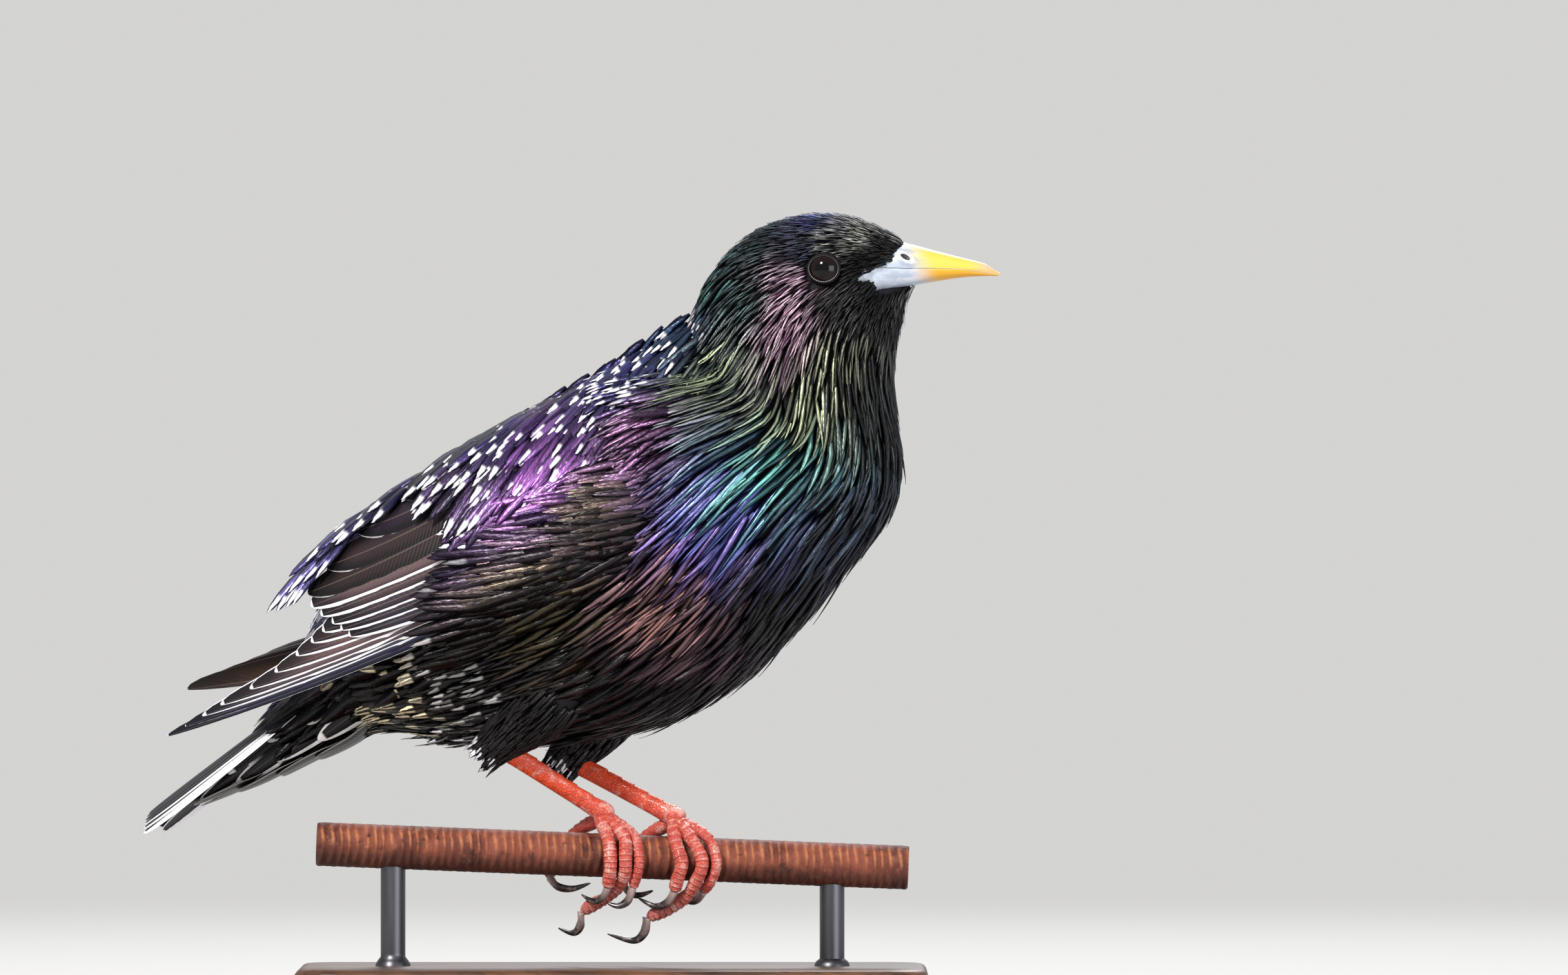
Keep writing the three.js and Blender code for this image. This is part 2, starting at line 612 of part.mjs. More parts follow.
// The torso, neck and rump give way to the folded wings, and the torso to the thighs.
const flesh = (from, to, steps) => largest(bodyLength(from, to, steps).subtract(pockets));

add("neck", flesh(NECK_AT, TORSO_AT, 8), "#1f2c33", 0.4, 0.3);
add("torso", largest(flesh(TORSO_AT, RUMP_AT, 12).subtract(thighRoom)), "#241f2c", 0.4, 0.3);
[["left", 1], ["right", -1]].forEach(([side, s]) => {
  add(`wing_${side}`, makeWing(s), "#2c2320", 0.45, 0.2);
});
legs.forEach(([side, leg]) => {
  const foot = largest(joined([palm(leg), ...leg.toes.map((t) => toe(t))]));
  const room = joined([palm(leg, GAP), ...leg.toes.map((t) => toe(t, GAP))]);
  add(`thigh_${side}`, largest(thigh(leg).subtract(shank(leg, GAP))), "#2a2326", 0.6);
  add(`shank_${side}`, largest(shank(leg).subtract(room)), "#c8603a", 0.5);
  add(`foot_${side}`, foot, "#cc6e52", 0.5);
  leg.toes.forEach((t, i) => add(`claw_${side}_${i + 1}`, largest(claw(t).subtract(room)), "#3a3430", 0.35));
});

// Tail: its axes run from the root to the tips (run) and across to the left (side), out being upwards.
const TAIL = {
  root: [-48.6, 76.4],
  towards: [-0.803, -0.597],
  start: 17.9, // where the rump ends
  length: 64,
  feathers: 12,
  spread: [1.1, 1.72], // between neighbours at the roots and at the tips
  wide: 3.0,
  roof: 2.6, // how far the outermost feathers hang below the middle pair
  under: { at: [17, 28, 38, 47.5, 54, 66], mm: [12.4, 10.2, 8.2, 5.6, 3.6, 1.0] },
  over: { at: [17, 26, 36, 66], mm: [5.6, 2.6, 0.8, 0.4] },
  half: 11, // from the middle to the outermost feather's edge
  fork: 0.4, // each pair is this much shorter than the pair outside it
  stack: 0.3, // each pair lies this much under the pair inside it
  core: { end: 56, half: [5.8, 4.0], inset: [0.4, 0.2], steps: 6, sides: 18 },
};
function tailPoint(run, side, out) {
  const [dx, dz] = TAIL.towards;
  const up = out - TAIL.roof * (side / TAIL.half) ** 2;
  return v3(TAIL.root[0] + dx * run + dz * up, side, TAIL.root[1] + dz * run - dx * up);
}
const tailUnder = (run, side, out) =>
  tailPoint(run, side, -profile(TAIL.under.at, TAIL.under.mm, run) + 0.02 * side * side - out);
const tailOver = (run, side, out) =>
  tailPoint(run, side, profile(TAIL.over.at, TAIL.over.mm, run) + out - 0.03 * side * side);

const COVERT = { root: 0.7, shape: { out: 0.2, blunt: 0.5, steps: 3 } }; // roots lie closer than tips
function makeTail() {
  const { end, half: halves, inset, steps, sides: turns } = TAIL.core;
  const core = Array.from({ length: steps + 1 }, (_, i) => {
    const run = lerp(TAIL.start + GAP, end, i / steps);
    const low = -profile(TAIL.under.at, TAIL.under.mm, run) + inset[0];
    const high = profile(TAIL.over.at, TAIL.over.mm, run) - inset[1];
    const half = lerp(...halves, i / steps);
    return Array.from({ length: turns }, (_, k) => {
      const a = (2 * Math.PI * k) / turns;
      return tailPoint(run, half * Math.cos(a), (low + high) / 2 + ((high - low) / 2) * Math.sin(a));
    });
  });
  const middle = (TAIL.feathers - 1) / 2;
  const rectrices = Array.from({ length: TAIL.feathers }, (_, i) => {
    const off = i - middle;
    return vane(tailPoint, {
      root: [TAIL.start + 4, off * TAIL.spread[0]],
      tip: [TAIL.length - TAIL.fork * (middle - Math.abs(off)), off * TAIL.spread[1]],
      wide: TAIL.wide,
      out: TAIL.stack * (3 - Math.abs(off)) - (off > 0 ? TAIL.stack / 2.5 : 0),
      blunt: 0.14,
      sink: 0,
      steps: 4,
    });
  });
  const coverts = (place, tiers) =>
    tiers.flatMap(({ run, long, sides, wide }) =>
      sides.map((side) =>
        vane(place, { root: [run, side * COVERT.root], tip: [run + long, side], wide, ...COVERT.shape }),
      ),
    );
  const under = coverts(tailUnder, [
    { run: 33, long: 21, sides: [-2.2, 2.2], wide: 3.4 },
    { run: 26, long: 19, sides: [-4.2, 0, 4.2], wide: 3.3 },
    { run: 19.5, long: 15, sides: [-4.6, 0, 4.6], wide: 3.2 },
  ]);
  const over = coverts(tailOver, [
    { run: 23, long: 19, sides: [-3.4, 0, 3.4], wide: 3.0 },
    { run: 18.6, long: 14, sides: [-4.4, 0, 4.4], wide: 2.8 },
  ]);
  return largest(joined([loft(core), ...rectrices, ...under, ...over]));
}

// Long feathers of the lower back that stand off behind it, from root to tip on the profile.
const PLUMES = [
  { root: [-59.4, 88.6], tip: [-68.4, 86.4], side: 0 },
  { root: [-59.5, 87.6], tip: [-71.4, 83.2], side: 3.4 },
  { root: [-59.5, 87.6], tip: [-71.0, 82.6], side: -3.4 },
  { root: [-61.8, 83.6], tip: [-75.6, 76.8], side: 0.4 },
  { root: [-63.4, 79.6], tip: [-75.0, 72.6], side: -4 },
  { root: [-63.4, 79.6], tip: [-74.0, 72.0], side: 4.2 },
];
const PLUME = { sunk: 0.6, shape: { wide: 2.4, out: 0, sink: 0, blunt: 0.7, steps: 4 } };
function plume({ root, tip, side }) {
  const long = Math.hypot(tip[0] - root[0], tip[1] - root[1]);
  const [dx, dz] = [(tip[0] - root[0]) / long, (tip[1] - root[1]) / long];
  const place = (run, across, out) =>
    v3(root[0] + dx * run + dz * out, side + across, root[1] + dz * run - dx * out);
  return vane(place, { root: [-PLUME.sunk, 0], tip: [long, 0], ...PLUME.shape });
}
add("rump", largest(joined([flesh(RUMP_AT, LAST, 7), ...PLUMES.map(plume)])), "#20242e", 0.4, 0.3);
add("tail", makeTail(), "#1c1c22", 0.45, 0.2);

// The perch: a cut length of bar, and the stand's two rods and base that hold it.
const barPoint = (reach, out = 0) => {
  const [yaw, droop] = [rad(BAR.yaw), rad(BAR.droop)];
  const run = reach * Math.cos(droop);
  return v3(run * Math.cos(yaw), run * Math.sin(yaw), BAR.z - reach * Math.sin(droop) + out);
};
function rodBetween(from, to, r, sides) {
  const long = from.distanceTo(to);
  const g = new THREE.CylinderGeometry(r, r, long, sides);
  g.applyQuaternion(new THREE.Quaternion().setFromUnitVectors(v3(0, 1, 0), to.clone().sub(from).normalize()));
  g.translate(...from.clone().lerp(to, 0.5).toArray());
  return solidOf(g);
}
function bar(grow = 0) {
  const end = BAR.length / 2;
  return rodBetween(barPoint(-end), barPoint(end), BAR.radius + grow, 24);
}
function standRod(side) {
  const top = barPoint(side * STAND_ROD.reach);
  const foot = v3(top.x, top.y, BASE.height + GAP);
  return largest(rodBetween(foot, top, STAND_ROD.radius, 20).subtract(bar(GAP)));
}
function standBase() {
  const [x, y] = [BASE.length / 2 - BASE.corner, BASE.width / 2 - BASE.corner];
  const corners = [[-1, -1], [1, -1], [1, 1], [-1, 1]];
  return wasm.Manifold.hull(
    corners.map(([i, j]) => {
      const p = perchPoint([i * x, j * y, 0]);
      return rodBetween(p, v3(p.x, p.y, BASE.height), BASE.corner, 24);
    }),
  );
}
add("perch_bar", bar(), "#8a5236", 0.7, 0.4);
add("stand_rod_left", standRod(-1), "#3b3b3d", 0.4, 0.8);
add("stand_rod_right", standRod(1), "#3b3b3d", 0.4, 0.8);
add("stand_base", standBase(), "#5a4638", 0.5);

export default group;
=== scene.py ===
"""A starling in breeding plumage, life size, on a cut length of rusty ribbed bar and a plain display stand.
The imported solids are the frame: skin, plumage, bill, eyes, legs and perch are laid over them here.
Lengths are millimetres in the tables and in every shape function, and MM makes them Blender's metres."""

from functools import partial
import math

import bpy
import numpy as np
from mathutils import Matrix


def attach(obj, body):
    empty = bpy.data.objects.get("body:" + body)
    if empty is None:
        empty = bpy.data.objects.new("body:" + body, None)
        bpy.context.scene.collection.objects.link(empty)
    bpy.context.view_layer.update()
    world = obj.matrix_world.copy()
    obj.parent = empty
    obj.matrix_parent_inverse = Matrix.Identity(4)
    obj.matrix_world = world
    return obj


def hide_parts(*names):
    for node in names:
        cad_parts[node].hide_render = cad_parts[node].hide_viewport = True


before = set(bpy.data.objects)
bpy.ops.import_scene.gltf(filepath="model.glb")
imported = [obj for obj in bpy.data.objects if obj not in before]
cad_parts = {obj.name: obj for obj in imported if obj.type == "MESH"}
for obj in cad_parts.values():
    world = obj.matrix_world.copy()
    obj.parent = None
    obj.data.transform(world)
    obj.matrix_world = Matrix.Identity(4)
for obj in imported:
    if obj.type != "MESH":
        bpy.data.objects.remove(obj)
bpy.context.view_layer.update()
MM = 0.001

# Skin. Head, neck, trunk and rump are one dark skin, stretched over the same rungs as the solids and drawn
# in by the depth of the coat. Each rung joins a point of the back to one of the belly, so a place on the
# body is a rung number and a turn round it, from the back by the left side.
RUNGS = np.array(
    [  # back x, back z, belly x, belly z, half width
        [61.8, 159.7, 66.6, 150.7, 2.4],
        [59.9, 161.1, 64.0, 149.6, 3.9],
        [55.6, 163.2, 62.2, 146.8, 6.0],
        [50.6, 164.9, 61.3, 142.7, 8.4],
        [45.2, 165.5, 60.3, 138.7, 10.2],
        [38.5, 164.9, 59.7, 134.3, 11.3],
        [31.0, 162.2, 59.4, 129.6, 12.0],
        [24.6, 157.3, 59.8, 124.5, 12.7],
        [20.0, 151.1, 60.6, 119.1, 14.0],
        [17.0, 143.7, 61.0, 113.4, 16.2],
        [14.2, 137.6, 60.2, 106.9, 19.0],
        [6.1, 135.0, 57.0, 100.2, 22.0],
        [-5.4, 130.6, 50.6, 92.4, 25.0],
        [-18.2, 122.2, 40.5, 80.3, 27.0],
        [-31.0, 113.3, 28.4, 68.5, 26.8],
        [-43.2, 104.2, 12.8, 59.3, 25.0],
        [-52.0, 97.1, -4.0, 55.5, 22.0],
        [-58.0, 90.7, -21.6, 53.9, 18.0],
        [-62.1, 84.0, -35.1, 55.0, 13.5],
        [-64.8, 77.2, -45.9, 57.1, 9.5],
        [-66.8, 70.5, -54.7, 56.0, 6.6],
        [-72.9, 62.1, -65.0, 51.4, 6.6],
        [-80.0, 54.9, -74.1, 47.0, 6.6],
        [-87.7, 48.5, -83.8, 43.2, 6.0],
    ]
)
SQUARE = 2.2  # how square a section is: 2 is an ellipse
SKIN_FROM, SKIN_TO = 0.15, 20.6
COAT_DEPTH = 1.5
EYE_X, EYE_Y, EYE_Z, EYE_R = 46.8, 8.9, 153.8, 3.7
BILL_PATCH = np.array(  # where the bill shows at the side of the face, in profile
    [[63.8, 161.5], [62.2, 159.4], [61.2, 156.8], [61.5, 155.6], [58.1, 154.4], [53.7, 151.9]]
    + [[56.6, 151.3], [57.9, 150.0], [57.4, 148.4], [66.5, 150.6], [90, 152], [90, 161.5]]
)
BILL_ROOT = (60, 154)
EYE_HOLLOW, BILL_HOLLOW = 2.6, 3.4  # how much deeper the skin lies behind the eye and round the bill


def along(values, t):
    """The smooth Catmull-Rom value at step number t of evenly spaced values."""
    values = np.asarray(values, float)
    last = len(values) - 1
    t = np.clip(t, 0, last)
    i = np.clip(np.floor(t).astype(int), 0, last - 1)
    a, b, c, d = (values[np.clip(i + k, 0, last)] for k in (-1, 0, 1, 2))
    f = t - i
    return b + 0.5 * f * (c - a + f * (2 * a - 5 * b + 4 * c - d + f * (3 * (b - c) + d - a)))


def profile(places, values, x):
    """The same, for values given at rising places that need not be evenly spaced."""
    places = np.asarray(places, float)
    i = np.clip(np.searchsorted(places, x, side="right") - 1, 0, len(places) - 2)
    return along(values, i + np.clip((x - places[i]) / (places[i + 1] - places[i]), 0, 1))


def ramp(x, start, width):
    """0 up to start, then straight up to 1 over width."""
    return np.clip((x - start) / width, 0, 1)


def circle(sides):
    """The turns of a full circle in equal steps."""
    return np.linspace(0, 2 * np.pi, sides + 1)[:-1]


def joined(*values):
    """Points or maps from their separate coordinates."""
    return np.stack(np.broadcast_arrays(*values), -1)


def lattice(down, across):
    """Every value down a shape with every value across it, as two grids."""
    return np.meshgrid(down, across, indexing="ij")


def unit(v):
    return v / np.maximum(np.linalg.norm(v, axis=-1, keepdims=True), 1e-9)


def body(s, turn, out):
    """A point of the body: the rung's middle, plus its half length times cos(turn) along it and its half
    width times sin(turn) to the left, both raised to a power that squares the section, out more each way."""
    s, turn, out = np.broadcast_arrays(s, turn, out)
    bx, bz, ux, uz, half = (along(RUNGS[:, k], s) for k in range(5))
    up_x, up_z = (bx - ux) / 2, (bz - uz) / 2
    tall = np.hypot(up_x, up_z)
    c, d = (np.sign(v) * np.abs(v) ** (2 / SQUARE) for v in (np.cos(turn), np.sin(turn)))
    reach = (tall + out) * c / tall
    return joined((bx + ux) / 2 + up_x * reach, (half + out) * d, (bz + uz) / 2 + up_z * reach)


def inside(polygon, x, z):
    """Whether points lie inside a polygon: they do where a ray to the right crosses its edges an odd
    number of times."""
    odd = np.zeros(np.shape(x), bool)
    for (x0, z0), (x1, z1) in zip(polygon, np.roll(polygon, -1, axis=0)):
        crosses = (z0 > z) != (z1 > z)
        odd ^= crosses & (x < x0 + (z - z0) * (x1 - x0) / (z1 - z0 + 1e-12))
    return odd


def ring_quads(stations, sides, copies=1):
    """Faces of closed tubes of quads: every ring joined to the next, and each end ring closed by a row of
    quads across it. sides is even."""
    ring = np.arange(sides)
    nxt = np.roll(ring, -1)
    wall = np.stack([ring, nxt, nxt + sides, ring + sides], 1)
    walls = (wall[None] + sides * np.arange(stations - 1)[:, None, None]).reshape(-1, 4)
    k = np.arange(sides // 2 - 1)
    cap = np.stack([k, sides - 1 - k, sides - 2 - k, k + 1], 1)
    end = cap[:, ::-1] + sides * (stations - 1)
    one = np.concatenate([walls, cap, end])
    return (one[None] + stations * sides * np.arange(copies)[:, None, None]).reshape(copies, -1, 4)


def facing_out(points, quads):
    """Copies of a shape whose signed volume is negative get their faces turned over."""
    p = points[quads]
    middle = points.reshape(len(quads), -1, 3).mean(1)[:, None, None]
    a, b, c, d = (p[:, :, k] - middle[:, :, 0] for k in range(4))
    volume = (np.cross(a, b) * c).sum((1, 2)) + (np.cross(a, c) * d).sum((1, 2))
    turned = quads.copy()
    turned[volume < 0] = quads[volume < 0][:, :, ::-1]
    return turned.reshape(-1, 4)


def build(name, points, quads, material, uvs=(), colours=(), vectors=(), crease=None, rides=True):
    """Puts points (n, 3) in millimetres and quads (m, 4) into a mesh whose object sits at the origin. uvs,
    colours and vectors are pairs of a name and one value a point."""
    mesh = bpy.data.meshes.new(name)
    mesh.vertices.add(len(points))
    mesh.vertices.foreach_set("co", (points * MM).astype(np.float32).ravel())
    corners = quads.astype(np.int32).ravel()
    mesh.loops.add(len(corners))
    mesh.loops.foreach_set("vertex_index", corners)
    mesh.polygons.add(len(quads))
    mesh.polygons.foreach_set("loop_start", np.arange(0, len(corners), 4, dtype=np.int32))
    mesh.polygons.foreach_set("use_smooth", np.ones(len(quads), bool))
    mesh.update(calc_edges=True)
    for label, uv in uvs:
        mesh.uv_layers.new(name=label).uv.foreach_set("vector", uv[corners].astype(np.float32).ravel())
    opaque = [(label, np.concatenate([v, np.ones((len(v), 1))], 1)) for label, v in colours]
    for kind, field, given in (("FLOAT_COLOR", "color", opaque), ("FLOAT_VECTOR", "vector", vectors)):
        for label, values in given:
            layer = mesh.attributes.new(label, kind, "POINT")
            layer.data.foreach_set(field, values.astype(np.float32).ravel())
    if crease:
        mesh.set_sharp_from_angle(angle=math.radians(crease))
    mesh.materials.append(material)
    piece = bpy.data.objects.new(name, mesh)
    bpy.context.scene.collection.objects.link(piece)
    if rides:
        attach(piece, "root")
    return piece


def grid_piece(name, points, material, **more):
    """A closed skin over a grid of points (stations, sides, 3), with an OFBake map laid out like the grid."""
    stations, sides = points.shape[:2]
    flat = points.reshape(-1, 3)
    v, u = lattice(np.linspace(0.02, 0.98, stations), np.linspace(0.02, 0.98, sides))
    uvs = [("OFBake", joined(u.ravel(), v.ravel()))]
    return build(name, flat, facing_out(flat, ring_quads(stations, sides)), material, uvs=uvs, **more)


def paint(code):
    """A web colour such as #a0b1c2 as the linear numbers that a shader takes."""
    v = np.array([int(code[i : i + 2], 16) for i in (1, 3, 5)]) / 255
    return np.where(v < 0.04045, v / 12.92, ((v + 0.055) / 1.055) ** 2.4)


class Wire:
    """A node's output that plain arithmetic works on: each operator adds a Math node."""

    def __init__(self, finish, socket):
        self.finish, self.socket = finish, socket

    def math(self, how, *others):
        return self.finish.node("Math", {"operation": how}, dict(enumerate((self, *others))))

    def __add__(self, v):
        return self.math("ADD", v)

    def __mul__(self, v):
        return self.math("MULTIPLY", v)

    __radd__, __rmul__ = __add__, __mul__

    def __sub__(self, v):
        return self.math("SUBTRACT", v)

    def __rsub__(self, v):
        return self.finish.node("Math", {"operation": "SUBTRACT"}, {0: v, 1: self})

    def __pow__(self, v):
        return self.math("POWER", v)

    def step(self, low, high):
        """0 below low, 1 above high and smooth between, or the other way round where low is the larger."""
        inputs = {"Value": self, "From Min": low, "From Max": high}
        return self.finish.node("MapRange", {"interpolation_type": "SMOOTHSTEP"}, inputs)


class Finish:
    """One material: a Principled surface. A socket takes a number, a colour, a web colour or a wire."""

    def __init__(self, name, **sockets):
        self.material = bpy.data.materials.new(name)
        self.material.use_nodes = True
        self.tree = self.material.node_tree
        self.surface = self.tree.nodes["Principled BSDF"]
        self.wear(**sockets)

    def set(self, node, sockets):
        for key, value in sockets.items():
            value = paint(value) if isinstance(value, str) else value
            if isinstance(value, Wire):
                self.tree.links.new(value.socket, node.inputs[key])
            elif np.ndim(value) and len(node.inputs[key].default_value) == 4:
                node.inputs[key].default_value = (*value[:3], 1)
            else:
                node.inputs[key].default_value = value

    def node(self, kind, settings=None, inputs=None, out=0):
        made = self.tree.nodes.new("ShaderNode" + kind)
        for key, value in (settings or {}).items():
            setattr(made, key, value)
        self.set(made, inputs or {})
        return Wire(self, made.outputs[out])

    def mix(self, a, b, share):
        return self.node("Mix", {"data_type": "RGBA", "clamp_factor": True}, {0: share, 6: a, 7: b}, out=2)

    def layers(self, tone, *over):
        """A tone with each colour of over laid on it by its share."""
        for colour, share in over:
            tone = self.mix(tone, colour, share)
        return tone

    def read(self, name, out="Color"):
        return self.node("Attribute", {"attribute_name": name}, out=out)

    def place(self):
        return self.node("TexCoord", out="Object")

    def mapped(self, **how):
        return self.node("Mapping", inputs={"Vector": self.place(), **how})

    def parts(self, vector):
        made = self.node("SeparateXYZ", inputs={0: vector}).socket.node
        return [Wire(self, socket) for socket in made.outputs]

    def grain(self, scale, detail=3.0, vector=None, rough=0.5):
        inputs = {"Vector": vector or self.place(), "Scale": scale, "Detail": detail, "Roughness": rough}
        return self.node("TexNoise", inputs=inputs)

    def bump(self, height, depth, strength=1.0):
        normal = self.node("Bump", inputs={"Strength": strength, "Distance": depth, "Height": height})
        self.set(self.surface, {"Normal": normal})

    def wear(self, **sockets):
        self.set(self.surface, {key.replace("_", " "): value for key, value in sockets.items()})
        return self.material


f = Finish("skin", Roughness=0.7, Specular_IOR_Level=0.25)
f.bump(f.grain(2600), 0.0002, 0.4)
skin_material = f.wear(Base_Color=f.mix("#0a090b", "#17141a", f.grain(900)))

skin_s, skin_turn = lattice(np.linspace(SKIN_FROM, SKIN_TO, 300), circle(144))
skin_at = body(skin_s, skin_turn, 0)
from_eye = np.hypot(skin_at[..., 0] - EYE_X, skin_at[..., 2] - EYE_Z)
socket = (BILL_PATCH - BILL_ROOT) * 1.14 + BILL_ROOT  # the bill's patch, a little larger
depth = profile([0, 2, 4, 8, SKIN_TO], [0.5, 0.8, 1.1, COAT_DEPTH, COAT_DEPTH], skin_s)
depth = depth + EYE_HOLLOW * np.exp(-((from_eye / 2.7) ** 4))
depth = depth + BILL_HOLLOW * inside(socket, skin_at[..., 0], skin_at[..., 2])
skin = grid_piece("skin", body(skin_s, skin_turn, -depth), skin_material)
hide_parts("head", "neck", "torso", "rump", "thigh_left", "thigh_right")

# Body plumage. Small glossy feathers lie along the body from the bill to the tail, each a thin curved blade
# with its root on the skin and its tip over the next row: short and tight on the head, long pointed hackles
# on the throat and breast, and broad ones with a white drop at the tip on the back.
# The gleam and its strength are painted sheen: a highlight down the middle of each feather.
TRACTS = [  # x, z in profile, ground colour, gleam down the middle, length, half width, drop, sheen strength, warmth
    [45, 165, "#0a1242", "#3c52a8", 3.2, 0.34, 0.18, 0.8, 0],  # forehead and crown
    [33, 162, "#081822", "#2f6065", 4.6, 0.42, 0.2, 0.6, 0.2],  # back of the crown
    [24, 154, "#081e26", "#447a76", 6.5, 0.8, 0.4, 0.6, 0.3],  # nape
    [16, 143, "#101f44", "#5b7fa8", 7.5, 0.9, 0.95, 0.5, 0],  # hind neck
    [54.5, 159.6, "#454338", "#fffdf0", 2.4, 0.28, 0.05, 1, 0],  # brow
    [47.5, 159.4, "#2c3034", "#e6e6da", 2.8, 0.3, 0.05, 1, 0],  # over the eye
    [44, 158.5, "#0c1222", "#4a5a78", 3, 0.32, 0.05, 0.6, 0],  # behind the eye
    [55, 156, "#030304", "#0b0a0c", 2.2, 0.34, 0, 0.1, 0],  # lore
    [58.5, 159.5, "#08080a", "#24242a", 2, 0.32, 0, 0.4, 0],  # base of the forehead
    [40.5, 151, "#663c5c", "#ffdcee", 3.8, 0.36, 0, 1, 0],  # cheek
    [41, 145, "#6a4060", "#ffd6e8", 7, 0.45, 0, 1, 0],  # ear coverts
    [32.5, 149, "#0a1a20", "#44706e", 5.5, 0.48, 0.2, 0.7, 0.2],  # behind the ear
    [27, 137, "#122826", "#a3b08a", 12, 0.8, 0, 0.9, 0],  # side of the neck
    [50, 147.5, "#0c0b0c", "#4f4a4e", 3.4, 0.34, 0, 0.7, 0],  # under the eye
    [58, 147, "#070707", "#1e2022", 3.2, 0.36, 0, 0.3, 0],  # chin
    [50, 138, "#0c0f0e", "#b9c09c", 10, 0.7, 0, 1, 0],  # throat
    [58, 131, "#070809", "#343c42", 11, 0.85, 0, 0.6, 0],  # front of the throat
    [44, 129, "#13201d", "#c9d6ac", 14, 0.8, 0, 1, 0],  # side of the throat
    [43, 118, "#0a3c46", "#86dcd2", 16, 0.95, 0, 1, 0],  # upper breast
    [36, 110, "#1a2670", "#8f95ee", 17, 1, 0, 0.9, 0],  # breast, blue
    [30, 103, "#301c5c", "#a584d6", 18, 1.1, 0, 0.9, 0],  # breast, violet
    [24, 92, "#331f27", "#c9938c", 19, 1.15, 0, 0.9, 0],  # breast, copper
    [58, 112, "#060f1a", "#203a58", 13, 1.05, 0, 0.5, 0],  # front of the breast
    [43, 89, "#09070b", "#251e2a", 14, 1.3, 0, 0.4, 0],  # lower breast
    [14, 66, "#070608", "#19161a", 14, 1.6, 0.05, 0.3, 0],  # belly
    [-2, 85, "#1a140f", "#71643f", 19, 1.7, 0, 0.8, 0],  # flank
    [6, 104, "#17110f", "#5d4c42", 17, 1.6, 0, 0.8, 0],  # under the shoulder
    [14, 121, "#3c2040", "#a873a6", 10, 1.4, 0.25, 0.8, 0],  # shoulder
    [-7, 112, "#4a2065", "#b36cc4", 12, 1.2, 1, 0.8, 0],  # scapulars
    [-22, 108, "#2a1a3a", "#7d5c96", 12, 1.25, 1, 0.6, 0],  # hind scapulars
    [8, 134, "#15134a", "#6461b4", 7.5, 1.1, 1, 0.5, 0],  # mantle
    [-22, 121, "#141038", "#544b98", 8.5, 1.2, 1, 0.5, 0],  # back
    [-42, 107, "#171340", "#6a62aa", 10, 1.05, 1, 0.6, 0],  # lower back
    [-60, 92, "#221c54", "#8a80cc", 12, 0.95, 1, 0.7, 0],  # rump
    [-22, 70, "#0d0b0b", "#332a25", 12, 0.95, 0.5, 0.4, 0.2],  # hind flank
    [-38, 62, "#0c0a0a", "#2e2722", 11, 1.5, 1, 0.2, 1],  # vent
    [-55, 58, "#0a090b", "#1d1b20", 10, 2.2, 0.2, 0.2, 1],  # behind the vent
]
TRACT_AT = np.array([t[:2] for t in TRACTS], float)
TRACT_LOOK = np.array([[*paint(t[2]), *paint(t[3]), *t[4:]] for t in TRACTS])
LONG, WIDE, DROP, SHEEN, WARM = range(6, 11)  # a look's columns after its two colours
BLADE = np.array([[-1, 0, 0, 0], [0, 1, 0, 0.5], [1, 0, 0, 1], [0, 1, 1, 0.5]])  # across, crown, under, u
BLADE_AT = np.array([0, 0.2, 0.45, 0.7, 0.9, 1.0])


def tract(points):
    """What the plumage is like at points: the tracts' values weighed by one over distance to the fourth."""
    flat = points[..., [0, 2]]
    gap = np.linalg.norm(flat[..., None, :] - TRACT_AT, axis=-1)
    weight = 1 / (gap + 0.8) ** 4
    return (weight / weight.sum(-1, keepdims=True)) @ TRACT_LOOK


def on_body(s, turn, heading):
    """A place function for feathers rooted at s and turn: a runs down the body, swung by heading towards the
    left of its own course, b runs across, and h stands off the body's outer surface."""
    step = 0.02
    by_s = (body(s + step, turn, 0) - body(s - step, turn, 0)) / (2 * step)
    by_turn = (body(s, turn + step, 0) - body(s, turn - step, 0)) / (2 * step)
    flow = unit(by_s)
    side = unit(np.cross(np.cross(by_s, by_turn), flow))
    ss, st, tt = ((p * q).sum(-1) for p, q in ((by_s, by_s), (by_s, by_turn), (by_turn, by_turn)))
    det = ss * tt - st * st
    c, d = np.cos(heading)[:, None], np.sin(heading)[:, None]

    def steps(v):
        vs, vt = (v * by_s).sum(-1), (v * by_turn).sum(-1)
        return ((tt * vs - st * vt) / det)[:, None, None], ((ss * vt - st * vs) / det)[:, None, None]

    (as_, at), (bs, bt) = steps(flow * c + side * d), steps(side * c - flow * d)
    return lambda a, b, h: body(s[:, None, None] + a * as_ + b * bs, turn[:, None, None] + a * at + b * bt, h)


